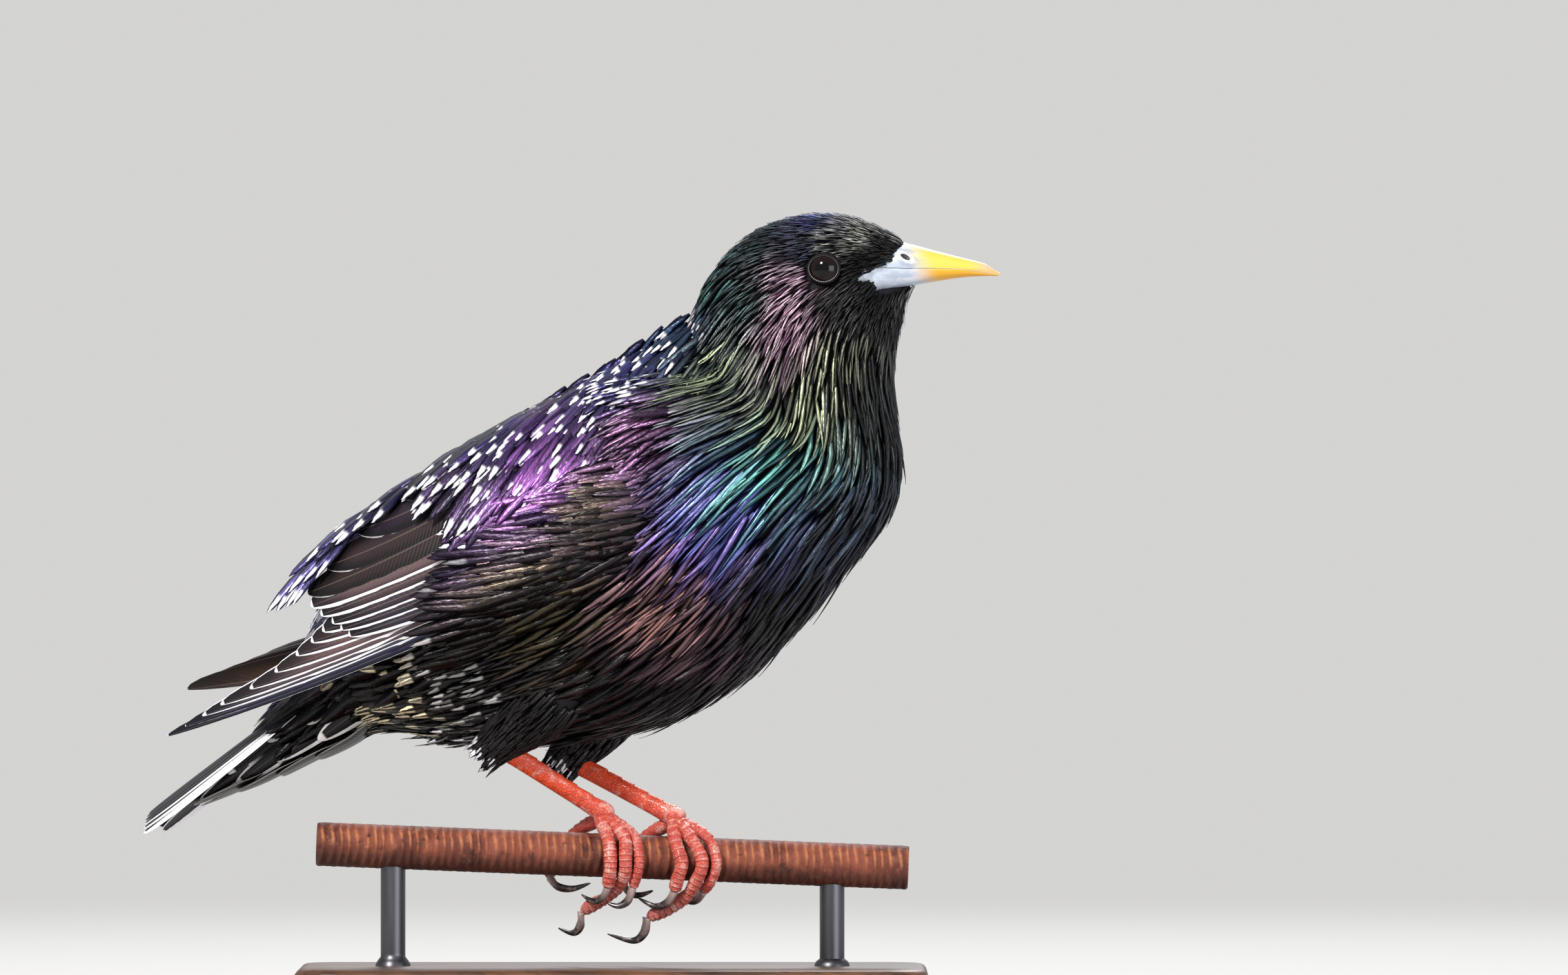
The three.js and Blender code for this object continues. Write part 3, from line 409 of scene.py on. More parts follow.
def feathers(
    name, place, long, wide, lift, look, bake, material,
    tip=2.2, point=0.5, section=BLADE, at=BLADE_AT, thick=0.1, crease=None, bow=0.0, outer=1.0,
):
    """One piece of many feathers. Each is a ring of section points at every station: across by its half
    width, which swells from the root and closes as 1 less t to the power tip, all to the power point, and
    raised from lift[0] at the root to lift[1] at the tip. outer narrows the vane's right side."""
    n = len(long)
    t = at[None, :, None]
    each_feather = (long, wide, tip, point, bow, outer, *lift)
    long, wide, tip, point, bow, outer, low, high = (np.broadcast_to(v, n)[:, None, None] for v in each_feather)
    swell = np.minimum(1, 0.4 + 1.8 * t) * np.maximum(1 - t**tip, 0.004) ** point
    across, crown, under, u = section.T
    a = np.broadcast_to(long * t, (n, len(at), len(section)))
    b = wide * swell * np.where(across < 0, across * outer, across) + bow * 4 * t * (1 - t)
    cup = np.minimum(0.45 * np.abs(wide), 0.4) * swell
    h = low + (high - low) * t**0.7 + cup * crown - thick * under
    points = place(a, b, h).reshape(-1, 3)
    vane = joined(u, t + 0 * a)
    baked = bake[:, None, None, :] + (vane - 0.5) * 0.003
    each = np.repeat(look, len(at) * len(section), axis=0)
    return build(
        name,
        points,
        facing_out(points, ring_quads(len(at), len(section), n)),
        material,
        uvs=[("OFBake", baked.reshape(-1, 2)), ("Vane", vane.reshape(-1, 2))],
        colours=[("ground", each[:, 0:3]), ("gleam", each[:, 3:6])],
        vectors=[("marks", each[:, 6:9])],
        crease=crease,
    )


def vane_reads(f):
    """What a feather's finish reads: u across the vane and v from root to tip, the distance off its shaft,
    its three marks, and its ground and gleam colours."""
    u, v, _ = f.parts(f.node("UVMap", {"uv_map": "Vane"}))
    off = (u - 0.5).math("ABSOLUTE") * 2
    return u, v, off, f.parts(f.read("marks", "Vector")), f.read("ground"), f.read("gleam")


def plumage(name, barbs, rough, metal):
    """A soft feather's finish: the ground colour is ribbed by slanting barbs, lightened down the middle by the
    gleam as painted sheen, darkened towards the vane's edges as painted shade, and ends in a pale drop. marks
    hold the drop's strength, the painted sheen's, and their warmth."""
    f = Finish(name, Specular_IOR_Level=0.5, Coat_Roughness=0.25)
    u, v, off, (drop, sheen, warm), ground, gleam = vane_reads(f)
    barb = ((v - off * 0.18) * barbs).math("SINE")
    x, _, _ = f.parts(f.place())
    strands = f.node("CombineXYZ", inputs={0: u * 9, 1: v * 1.4, 2: x * 500})
    strand = f.grain(1.0, 2, strands).step(0.36, 0.62)
    patchy = f.grain(70, 2).step(0.3, 0.6)
    dark = f.mix(ground, (0, 0, 0), 0.7)
    # painted shade: the vane darkens towards its edges, where the feathers overlap
    shade = f.layers(dark, (ground, strand * 0.7 + barb * 0.1 + 0.2), ((0, 0, 0), off.step(0.7, 1.0) * 0.6))
    # painted sheen: the gleam down the middle of the vane, by its strength, in patches and along the strands
    middle = (1 - off.step(0.2, 0.8)) * v.step(0.0, 0.35) * (1 - v.step(0.93, 1.0))
    shine = middle * sheen * (patchy * 0.4 + 0.2 + strand * 0.4)
    twin = off.step(0.2, 0.35) * (1 - off.step(0.7, 0.9))
    spot = 1 - off.step(0.4, 0.7)
    tear = (v + warm * 0.12).step(0.66, 0.74) * (spot + warm * (twin - spot)) * drop.step(0.25, 0.7)
    colour = f.layers(shade, (gleam, shine), (f.mix("#e9e8f0", "#f6e6bc", warm), tear))
    f.bump(strand + barb * 0.2 + (1 - off), 0.00006, 0.7)
    dull = tear * 0.3 + rough + barb * 0.03
    return f.wear(Base_Color=colour, Roughness=dull, Metallic=(1 - tear) * metal, Coat_Weight=(1 - tear) * 0.15)


coat_material = plumage("body_plumage", 60, 0.30, 0.6)


def rooted(s_from, s_to, pack, seed):
    """Roots in rows down the body. A row's feathers are set by walking round it in steps of their own
    width, and a row is thinned where the rungs fan out less than the feathers' own spacing."""
    rng = np.random.default_rng(seed)
    turn = np.linspace(-np.pi, np.pi, 400)
    rows = []
    s = s_from
    while s < s_to:
        ring = body(s, turn, 0)
        walk = np.linalg.norm(np.diff(ring, axis=0), axis=1) / (tract(ring)[1:, WIDE] * pack[0])
        count = np.concatenate([[0], np.cumsum(walk)])
        roots = np.interp(np.arange(rng.random(), count[-1], 1), count, turn)
        by_s = np.linalg.norm(body(s + 0.05, roots, 0) - body(s - 0.05, roots, 0), axis=1) / 0.1
        need = tract(body(s, roots, 0))[:, LONG] * pack[1]
        step = float(np.min(need / by_s)) * 1.6
        keep = rng.random(len(roots)) < by_s * step / need
        roots = roots[keep] + rng.normal(0, 0.02, keep.sum())
        rows.append(joined(s + rng.uniform(-0.5, 0.5, len(roots)) * step, roots))
        s += step
    return np.concatenate(rows)


def soft_coat(name, place, long, wide, lift, bake, look, shade, drop, share, warm):
    """A piece of soft feathers. Each takes its tract's colours under a shade of its own, keeps a share of the
    painted sheen, and ends rounder where the tract has drops."""
    spotted = look[:, DROP] > 0.4
    marks = joined(drop, look[:, SHEEN] * 1.5 * share**1.3, warm)
    look = np.concatenate([look[:, 0:3] * shade, look[:, 3:6] * shade, marks], 1)
    tip, point = np.where(spotted, 3.0, 1.8), np.where(spotted, 0.55, 0.8)
    piece = feathers(name, place, long, wide, lift, look, bake, coat_material, tip=tip, point=point)


WING_SHOULDER = (19.6, 123.8)
WING_RUN = (-0.857, -0.516)
LEFT_DRAWN_IN, LEFT_RAISED, RAISED_FROM, RAISED_TO = 0.96, 8.0, 50.0, 126.0  # the left wing is held higher


def wing_axes(points):
    """Where points lie along the folded wing (run, from the shoulder) and across it (rise)."""
    dx, dz = points[..., 0] - WING_SHOULDER[0], points[..., 2] - WING_SHOULDER[1]
    rx, rz = WING_RUN
    return dx * rx + dz * rz, dx * rz - dz * rx


ROOT_OFF_EYE, TIP_OFF_EYE = 3.5, 3.0
BARE_FROM, BARE_TO, BARE_RISE, BARE_OFF = 12, 58, 11, 8  # the part of the body that a wing covers
LEAN_AT, LEAN = [0, 4, 6, 10, 13, 17, 21], [0, 0.1, 0.38, 0.34, 0.12, 0.1, 0]  # of the sides' feathers
FRINGE_X, FRINGE_REACH, FRINGE_Z, FRINGE_SHARE = -31, 14, 57.5, 0.28  # pale loose feathers behind the legs


def coat(name, s_from, s_to, pack, seed, lift=(-1.2, 0.35)):
    """The feathers of one length of the body, clear of the eye, the bill and the place of the wing. The
    lower ones stand further out, a few are loose, and those under the open rear of a wing are fluffed."""
    rng = np.random.default_rng(seed + 100)
    s, turn = rooted(s_from, s_to, pack, seed).T
    at = body(s, turn, 0)
    look = tract(at)
    run, rise = wing_axes(at)
    long = look[:, LONG] * rng.uniform(0.82, 1.15, len(s))
    wide = look[:, WIDE] * rng.uniform(0.85, 1.15, len(s))
    clear = np.hypot(at[:, 0] - EYE_X, at[:, 2] - EYE_Z) > ROOT_OFF_EYE
    clear &= np.hypot(at[:, 0] - 0.75 * long - EYE_X, at[:, 2] - EYE_Z) > TIP_OFF_EYE
    clear &= ~inside(BILL_PATCH, at[:, 0], at[:, 2])
    covered = (run > BARE_FROM) & (run < BARE_TO) & (np.abs(rise + 1) < BARE_RISE)
    clear &= ~(covered & (np.abs(at[:, 1]) > BARE_OFF))
    s, turn, at, look, long, wide, run = (v[clear] for v in (s, turn, at, look, long, wide, run))
    n = len(s)
    around = np.abs(turn)
    lean = profile(LEAN_AT, LEAN, s) * np.abs(np.sin(turn)) * np.clip((1.65 - around) / 0.75, -0.35, 1)
    heading = rng.normal(0, 0.09, n) - np.sign(turn) * lean
    upper = np.clip(np.cos(turn) * 1.5, 0, 1)
    tips = lift[1] * (1 - 0.7 * upper) + rng.normal(0, 0.18, n) + 0.02 * long * (1 - upper)
    loose = rng.random(n) < np.where(s < 12, 0.07, 0.03) * (1 - upper)
    tips = np.where(loose, tips + rng.uniform(0.6, 1.0 + 0.07 * long), tips)
    by_legs = (np.abs(at[:, 0] - FRINGE_X) < FRINGE_REACH) & (at[:, 2] < FRINGE_Z)
    fringe = by_legs & (rng.random(n) < FRINGE_SHARE)
    tips = np.where(fringe, tips + rng.uniform(1.0, 3.6, n), tips)
    hollow = ramp(run, 66, 18) * ramp(-run, -106, 10) * ramp(around, 0.5, 0.5) * ramp(-around, -2.2, 0.5)
    roots_out, tips = lift[0] + 2.2 * hollow, tips + hollow * rng.uniform(1.5, 5.0, n)
    bake = joined(0.02 + 0.96 * (turn / (2 * np.pi) % 1), 0.02 + 0.96 * s / len(RUNGS))
    drop = look[:, DROP] * rng.uniform(0.55, 1.1, n) * (rng.random(n) < np.where(look[:, WARM] > 0.5, 0.5, 0.9))
    drop, warm = np.where(fringe, 0.8, drop), np.where(fringe, 0, look[:, WARM])
    share, shade = rng.random(n), rng.uniform(0.6, 1.2, (n, 1))
    place = on_body(s, turn, heading)
    ends = place(0.8 * long[:, None, None], 0, 0)[:, 0, 0]
    long = np.where(inside(BILL_PATCH, ends[:, 0], ends[:, 2]), 0.45 * long, long)
    soft_coat(name, place, long, wide, (roots_out, tips), bake, look, shade, drop, share, warm)


# a length's first and last rung, then the spacing of its feathers, round it in widths and down it in lengths
coat("coat_head", 0.25, 5.2, (1.2, 0.40), 1, lift=(-0.6, 0.15))
coat("coat_nape", 5.2, 8.6, (1.1, 0.42), 2, lift=(-1.0, 0.25))
coat("coat_breast", 8.6, 12.6, (0.95, 0.44), 3)
coat("coat_trunk", 12.6, 16.6, (0.95, 0.40), 4)
coat("coat_rump", 16.6, SKIN_TO, (1.0, 0.34), 5)

# Folded wings. Each wing is a stack of stiff feathers over one curved sheet: nine primaries under five
# secondaries under four tertials, every one with a thin pale edge, and a coat of soft feathers from the
# shoulder, the back and the flank that hides all but their ends.
WING_AT = [-8, 20, 40, 70, 95, 120, 136]  # runs at which the wing's ellipse is given
WING_HALF = [19.0, 25.8, 27.8, 24.6, 18.4, 11.5, 8.2]
WING_MIDDLE = [-14, -17, -17, -12.5, -8, -4.5, -2.5]
WING_TALL = [31, 34.5, 35.2, 28.5, 23, 17, 14]
FLIGHT = [  # root run and rise, tip run and rise, half width, share of the outer web, tip power, colour, gleam
    [38, -17, 131.5, 0.1, 4.6, 0.22, 2.2, "#12131f", "#2e3150"],
    [38, -15.8, 127, -0.2, 4.8, 0.22, 2.4, "#161625", "#383a5a"],
    [38, -14.6, 122.4, -0.4, 4.8, 0.24, 2.6, "#25222b", "#4f4d60"],
    [38, -13.6, 117.6, -0.6, 4.8, 0.26, 3, "#2c2529", "#5d5059"],
    [38, -12.6, 110, -1.2, 4.8, 0.28, 3.5, "#33282b", "#6f5a60"],
    [38, -11.6, 103.2, -1.2, 4.8, 0.3, 4, "#392b2c", "#7b6064"],
    [38, -10.8, 97.2, -0.8, 4.8, 0.32, 5, "#392b2c", "#7b6064"],
    [38, -10, 92.8, -0.3, 4.8, 0.35, 6, "#342829", "#735a5e"],
    [38, -9.2, 89.4, 0.2, 4.8, 0.35, 7, "#2a2224", "#5f4d52"],
    [36, -12.4, 84.6, -3.6, 4.6, 0.3, 8, "#16131a", "#3d3746"],
    [36, -9.8, 85.4, -1.7, 4.6, 0.3, 8, "#16131a", "#3d3746"],
    [36, -7.2, 86.4, 0.2, 4.8, 0.32, 8, "#191519", "#463c46"],
    [36, -4.6, 87.8, 2.6, 5, 0.34, 8, "#221a1c", "#57464b"],
    [36, -2, 88.9, 5, 5.2, 0.4, 8, "#33262a", "#71595e"],
    [46, 3, 88.4, 7.4, 4.4, 0.8, 4, "#100b0b", "#382a2a"],
    [46, 6, 82.4, 9.6, 4.2, 0.85, 4, "#100b0b", "#403034"],
    [46, 9.5, 73.5, 12.2, 4, 0.9, 3.5, "#0e0b10", "#38293a"],
    [42, 12, 62, 14, 3.8, 0.9, 3, "#0e0b12", "#362b48"],
]
VANE = np.array(  # the same columns as BLADE
    [[-1, 0, 0, 0], [-0.5, 0.7, 0, 0.25], [0, 1, 0, 0.5], [0.5, 0.7, 0, 0.75]]
    + [[1, 0, 0, 1], [1, 0, 1, 1], [0, 1, 1, 0.5], [-1, 0, 1, 0]]
)
VANE_AT = np.array([0, 0.15, 0.3, 0.45, 0.6, 0.72, 0.82, 0.88, 0.93, 0.965, 0.99, 1.0])
STIFF = {"section": VANE, "at": VANE_AT, "crease": 50}
FLIGHT_PITCH = 0.24
KIND = np.repeat([0, 1, 2, 3], [2, 7, 5, 4])  # outer and inner primaries, secondaries, tertials


def slanted(root, course, run, y, up):
    """A point in profile run along a course from its root and up square to that, and y to the left."""
    (x, z), (dx, dz) = root, course
    return joined(x + dx * run + dz * up, y, z + dz * run - dx * up)


def wing_point(side, run, rise, out):
    """A point out from the wing's sheet. The sheet is an ellipse across the wing at every run, its half
    width, middle and half height read from the tables; out is along the sheet's own normal. The left wing
    is drawn in along its run and raised by the square of the share of the way to its tip."""

    def at(r, e):
        if side > 0:
            r = r * LEFT_DRAWN_IN
        half, middle, tall = (profile(WING_AT, v, r) for v in (WING_HALF, WING_MIDDLE, WING_TALL))
        y = half * np.sqrt(np.maximum(0.02, 1 - ((e - middle) / tall) ** 2))
        if side > 0:
            e = e + LEFT_RAISED * ramp(r, RAISED_FROM, RAISED_TO - RAISED_FROM) ** 2
        return slanted(WING_SHOULDER, WING_RUN, r, y, e)

    run, rise, out = np.broadcast_arrays(run, rise, out)
    by_run, by_rise = at(run + 0.5, rise) - at(run - 0.5, rise), at(run, rise + 0.5) - at(run, rise - 0.5)
    normal = unit(np.cross(by_run, by_rise))
    normal *= np.sign(normal[..., 1:2])
    return (at(run, rise) + normal * out[..., None]) * (1, side, 1)


def on_sheet(point, run, across, heading):
    """A place function for feathers rooted on a sheet, running along it and swung by heading across it."""
    roots = (run, across, np.cos(heading), np.sin(heading))
    run, across, c, d = (np.asarray(v, float)[:, None, None] for v in roots)
    return lambda a, b, h: point(run + a * c - b * d, across + a * d + b * c, h)


def quill(name, barbs, edge_width, tip_width, inner_share=0.16):
    """A stiff feather's finish: fine slanting barbs, a gleam down the middle as painted sheen, a pale shaft, a
    darker rim at the sides and the tip as painted shade, and a thin pale edge down the outer web and round the
    tip. marks hold the edge's strength, how wide it is, and its warmth, and inner_share says how wide it is on
    the inner web."""
    f = Finish(name, Specular_IOR_Level=0.4)
    u, v, off, (edge, broad, warm), ground, gleam = vane_reads(f)
    barb = ((v - off * 0.08) * barbs).math("SINE")
    # rim is painted shade: the vane darkens towards its sides and its tip
    rim = off.step(0.35, 0.95).math("MAXIMUM", v.step(0.78, 0.95))
    shaft = 1 - off.step(0.02, 0.06)
    width = broad * edge_width
    outer = (u - width).step(0.012, -0.012)
    inner = (u - 1 + width * inner_share).step(-0.01, 0.01)
    end = (v - 1 + broad * tip_width).step(-tip_width / 3, tip_width / 3)
    pale = outer.math("MAXIMUM", end.math("MAXIMUM", inner * v.step(0.5, 0.8))) * edge
    # painted sheen: the gleam shows most down the middle, the ground more towards the sides
    colour = f.layers(
        gleam,
        (ground, off.step(0.1, 0.7) * 0.5 + barb * 0.12 + 0.3),
        (f.mix(ground, (0.004, 0.004, 0.006), 0.8), rim * 0.85),
        ("#6d5f58", shaft * 0.6),
        (f.mix("#eeedf4", "#dccda8", warm), pale),
    )
    f.bump(barb * 0.4 + shaft * 2, 0.00005, 0.5)
    return f.wear(Base_Color=colour, Roughness=0.4 + barb * 0.04, Metallic=(1 - pale) * 0.35)


quill_material = quill("flight_feathers", 260, 0.1, 0.005)


def plain_look(colours, edge, broad, warm):
    """The looks of feathers from a pair of colours each and their marks."""
    look = np.array([[*paint(ground), *paint(gleam)] for ground, gleam in colours])
    return np.concatenate([look, joined(edge, broad, warm, look[:, 0])[:, :3]], 1)


def patch(count, top):
    """Middles of small bake patches in one row of an unwrap."""
    return joined(0.03 + 0.94 * np.arange(count) / 24, top)


SWING_AT, SWING = [-22, -14, -6, -1, 3, 9, 14, 20], [0.25, 0.38, 0.36, 0.15, -0.4, -0.45, -0.3, -0.25]
LIMIT_AT, LIMIT = [-22, -14, -6, 0, 6, 12, 20], [76, 70, 61, 57, 57, 62, 70]  # how far back tips reach, by rise
EDGE_AT, EDGE = [-10, 50, 60, 76, 90, 99], [20, 19, 16, 14, 9.4, 5.8]  # the wing's upper edge, by run


def side_coat(name, side, seed):
    """The soft feathers over a wing's front: in rows along the sheet, lifted towards the rear to lie over
    the flight feathers, those from the back swung down and those of the flank up."""
    rng = np.random.default_rng(seed)
    run, rise = np.meshgrid(np.arange(-10, 92, 4.6), np.arange(-21.5, 19.5, 0.8))
    run = run + rng.uniform(0, 4.6, (len(run), 1)) + rng.normal(0, 0.5, run.shape)
    rise = rise + rng.normal(0, 0.3, rise.shape)
    run, rise = run.ravel(), rise.ravel()
    look = tract(wing_point(side, run, rise, 0.0))
    long = look[:, LONG] * rng.uniform(0.85, 1.15, len(run)) * 1.1
    swing = profile(SWING_AT, SWING, rise)
    tip_run, tip_rise = run + 0.95 * long * np.cos(swing), rise + 0.95 * long * np.sin(swing)
    limit = profile(LIMIT_AT, LIMIT, rise)
    edge = profile(EDGE_AT, EDGE, tip_run)
    keep = (tip_run < limit + rng.normal(0, 0.8, len(run))) | ((tip_rise > edge - 3.5) & (tip_run < 97))
    keep &= tip_rise < edge + 1.2
    run, rise, look, long, swing = (v[keep] for v in (run, rise, look, long, swing))
    n = len(run)
    place = on_sheet(partial(wing_point, side), run, rise, swing + rng.normal(0, 0.07, n))
    window = ramp(rise, -22, 7) * ramp(-rise, -21, 6)
    base = 0.2 + 3.9 * ramp(run, -5, 50) ** 1.3 * window
    tips = base + 0.9 + 1.0 * window * ramp(run, 0, 40) + rng.normal(0, 0.15, n)
    wide = look[:, WIDE] * rng.uniform(0.85, 1.2, n)
    shade = rng.uniform(0.7, 1.25, (n, 1))
    drop = look[:, DROP] * (rng.random(n) < np.clip(0.35 + (rise - 6) / 14, 0.35, 0.9))
    bake = joined(0.02 + 0.96 * (run + 12) / 80, 0.02 + 0.9 * (rise + 23) / 40)
    soft_coat(name, place, long, wide, (base, tips), bake, look, shade, drop, rng.random(n), look[:, WARM])


for side, word in ((1, "left"), (-1, "right")):
    r0, e0, r1, e1, half, outer, tip = np.array([row[:7] for row in FLIGHT]).T
    colours = [row[7:] for row in FLIGHT]
    seen = 1.0  # how strongly the pale edges show
    if side > 0:  # the far wing shows the plain brown inner webs of blunt primaries
        plain = KIND < 2
        seen, half, tip = 0.15, half * np.where(plain, 1.3, 1), tip * np.where(plain, 1.8, 1)
        colours = [("#35261e", "#5a4334") if k else pair for k, pair in zip(plain, colours)]
    stack = 0.25 + FLIGHT_PITCH * np.arange(len(FLIGHT))
    place = on_sheet(partial(wing_point, side), r0, e0, np.arctan2(e1 - e0, r1 - r0))
    look = plain_look(colours, np.where(KIND == 3, 0.5, seen), np.array([0.3, 2.3, 2.0, 0.6])[KIND], 0.08)
    wing = feathers(
        f"wing_feathers_{word}", place, np.hypot(r1 - r0, e1 - e0), half, (stack, stack), look,
        patch(len(FLIGHT), 0.97), quill_material, tip=tip, thick=0.16, bow=-1.2, outer=outer, **STIFF,
    )
    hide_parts(f"wing_{word}")
    side_coat(f"coat_side_{word}", side, 40 + side)

# Tail. Twelve stiff feathers are stacked like a low roof, the middle pair on top, over two bundles of broad
# black coverts with cream edges: one below them, and one up both their sides.
TAIL_ROOT = (-48.6, 76.4)
TAIL_RUN = (-0.803, -0.597)
TAIL_ROOF = 2.6
UNDER_AT, UNDER_MM = [17, 28, 38, 47.5, 54, 66], [12.6, 10.4, 8.4, 5.8, 3.8, 1.2]


def tail_point(run, side, out):
    """A point over the tail's roof: along its run, to the left by side, and up by out less a parabola."""
    return slanted(TAIL_ROOT, TAIL_RUN, run, side, out - TAIL_ROOF * (side / 11) ** 2)


def under_tail(run, side, out):
    """The same under the tail, where the coverts' depth is read from a table and rounded across."""
    return tail_point(run, side, 0.035 * side**2 - profile(UNDER_AT, UNDER_MM, run) - out)


TAIL_FROM, TAIL_TO = 20.0, 62.0
off = np.outer(np.arange(5.5, 0, -1), (1, -1)).ravel()  # places across the tail, the middle pair last
away = np.abs(off)
outer_three = away > 3
long = TAIL_TO + 0.42 * away - TAIL_FROM
broad = np.where(outer_three, np.interp(away, [3.3, 4.4, 5.5], [1.0, 1.6, 2.6]), 0.4)
tail_look = plain_look([("#0e0e18", "#26283c")] * 12, np.where(outer_three, 1.0, 0.1), broad, 0.1)
tail_place = on_sheet(tail_point, np.full(12, TAIL_FROM), off, np.arctan2(off * 0.72, long))
roof = 0.8 - 0.34 * away
tail = feathers(
    "tail_feathers", tail_place, long, np.where(off > 0, -3.1, 3.1), (roof, roof), tail_look,
    patch(12, 0.03), quill_material, tip=7.0, thick=0.18, **STIFF,
)
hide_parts("tail")

covert_rng = np.random.default_rng(9)
TIERS = [2, 3, 3, 4]
tier = np.repeat(np.arange(4), TIERS)
covert_side = np.concatenate([np.linspace(-4.6, 4.6, n) for n in TIERS]) + covert_rng.normal(0, 0.2, 12)
covert_out = 0.1 + 0.35 * tier + covert_rng.uniform(0, 0.3, 12)
covert_place = on_sheet(under_tail, 37 - 9 * tier, covert_side * 0.7, covert_rng.normal(0, 0.05, 12))
coverts = feathers(
    "under_tail_coverts", covert_place, np.full(12, 16.0), 3.7, (covert_out - 0.8, covert_out),
    plain_look([("#0b0a0c", "#1d1b20")] * 12, 0.25, 0.8, 0.5), patch(12, 0.06),
    quill("under_tail_coverts", 120, 0.09, 0.05), tip=2.6, thick=0.12, **STIFF,
)

FLANK_COVERTS = [  # root run and height, tip run and height, half width
    [34, -4.2, 52, -4.4, 1.9],
    [24, -2.6, 43, -3.4, 2.3],
    [25, -6.6, 43, -6.0, 2.3],
    [13, -2.2, 32, -3.0, 2.6],
    [14, -7.8, 33, -7.2, 2.6],
    [4, -4.6, 23, -5.0, 2.8],
    [4, -9.6, 23, -9.2, 2.8],
]


def tail_flank(way, run, up, out):
    """A point out from the side of the under-tail coverts: half an ellipse from the tail down to their
    depth, whose width tapers along the run."""
    deep = profile(UNDER_AT, UNDER_MM, run)
    bulge = np.sqrt(np.maximum(0.1, 1 - ((up + deep / 2) / (deep / 2 + 1.5)) ** 2))
    y = way * (profile([4, 14, 54], [8.6, 6.4, 3.8], run) * bulge + out)
    return slanted(TAIL_ROOT, TAIL_RUN, run, y, up)


r0, e0, r1, e1, half = np.tile(np.array(FLANK_COVERTS).T, 2)
way = np.repeat([1, -1], len(FLANK_COVERTS))[:, None, None]
flank_place = on_sheet(partial(tail_flank, way), r0, e0, np.arctan2(e1 - e0, r1 - r0))
stack = np.tile(0.1 + 0.22 * np.arange(len(FLANK_COVERTS)), 2)
flank = feathers(
    "tail_side_coverts", flank_place, np.hypot(r1 - r0, e1 - e0), half, (stack, stack),
    plain_look([("#0b0a0c", "#1f1d22")] * len(half), 0.85, 1.7, 0.3), patch(len(half), 0.06),
    quill("tail_side_coverts", 120, 0.09, 0.05, 1.0), **STIFF,
)

core_run, core_turn = lattice(np.linspace(14, 54, 24), circle(32))
core_low = 0.7 - profile(UNDER_AT, UNDER_MM, core_run)
core_high = profile([14, 26, 36, 54], [5.0, 1.6, -0.6, -1.2], core_run)
core_half = profile([14, 54], [5.6, 3.2], core_run)
core_out = (core_low + core_high) / 2 + (core_high - core_low) / 2 * np.sin(core_turn)
core = tail_point(core_run, core_half * np.cos(core_turn), core_out)
grid_piece("tail_root", core, skin_material)

# Bill. Two horny halves meet at a level mouth line that drops at the gape. The upper one has a slanting oval
# nostril with a pale raised rim; both are blue-grey at the base and yellow to the tip.
BILL_X = [50.5, 52.4, 55.0, 58.2, 62.9, 68.6, 74.1, 79.0, 82.4]
BILL_RIDGE = [151.9, 154.8, 158.2, 160.0, 159.1, 157.6, 156.2, 154.9, 152.9]
BILL_MOUTH = [151.6, 152.6, 153.7, 154.0, 153.9, 153.9, 153.7, 153.1, 152.6]
BILL_KEEL = [151.2, 149.9, 148.8, 149.3, 150.2, 151.2, 152.0, 152.3, 152.3]
BILL_HALF = [9.0, 8.5, 8.0, 6.4, 4.5, 3.2, 2.2, 1.3, 0.3]
BILL_UPPER = [0.75, 0.75, 0.78, 0.84, 1.0, 1.0, 1.0, 1.0, 1.0]  # how wide the upper half is beside the lower
BILL_PINCH = {1: [6, 6, 5, 4, 1, 0.9, 0.9, 0.9, 0.9], -1: [0.25, 0.25, 0.3, 0.4, 0.7, 0.9, 0.9, 0.9, 0.9]}
NOSTRIL = (62.8, 156.3, math.radians(30))  # x, z and how far its front end dips
LIP = 0.06


def from_nostril(x, z, scale=1.0):
    """How far places or wires are from the nostril's middle, along its slit and across it."""
    c, d = math.cos(NOSTRIL[2]), math.sin(NOSTRIL[2])
    u, v = x - NOSTRIL[0] * scale, z - NOSTRIL[1] * scale
    return u * c - v * d, u * d + v * c


def bill_half(outer, way, tip):
    """One half of the bill: at every x a half ellipse from the mouth line out to the ridge or keel, closed by
    a flat inside. The nostril is a pit with a raised rim, by how far a point lies from its oval."""
    down = BILL_X[0] + (tip - BILL_X[0]) * np.linspace(0, 1, 190) ** 0.94
    x, turn = lattice(down, np.linspace(0, np.pi, 43))
    mouth = profile(BILL_X, BILL_MOUTH, x) + way * LIP
    tall = np.maximum(0.12, np.abs(profile(BILL_X, outer, x) - mouth))
    half = profile(BILL_X, BILL_HALF, x) * (profile(BILL_X, BILL_UPPER, x) if way > 0 else 1)
    z = mouth + way * tall * np.sin(turn) ** 0.85
    y = half * np.sign(np.cos(turn)) * np.abs(np.cos(turn)) ** profile(BILL_X, BILL_PINCH[way], x)
    slit_u, slit_v = from_nostril(x, z)
    ring = np.hypot(slit_u / 1.3, slit_v / 0.62)
    push = 0.28 * np.exp(-(((ring - 1.6) / 0.4) ** 2)) - 0.6 * np.exp(-(ring**4))
    if way > 0:
        y = y * (1 + push / np.maximum(np.abs(y), 1.0))
    shut = np.linspace(-1, 1, 7)[1:-1]
    return np.concatenate([joined(x, y, z), joined(x[:, :1], half[:, :1] * 0.98 * shut, mouth[:, :1])], 1)


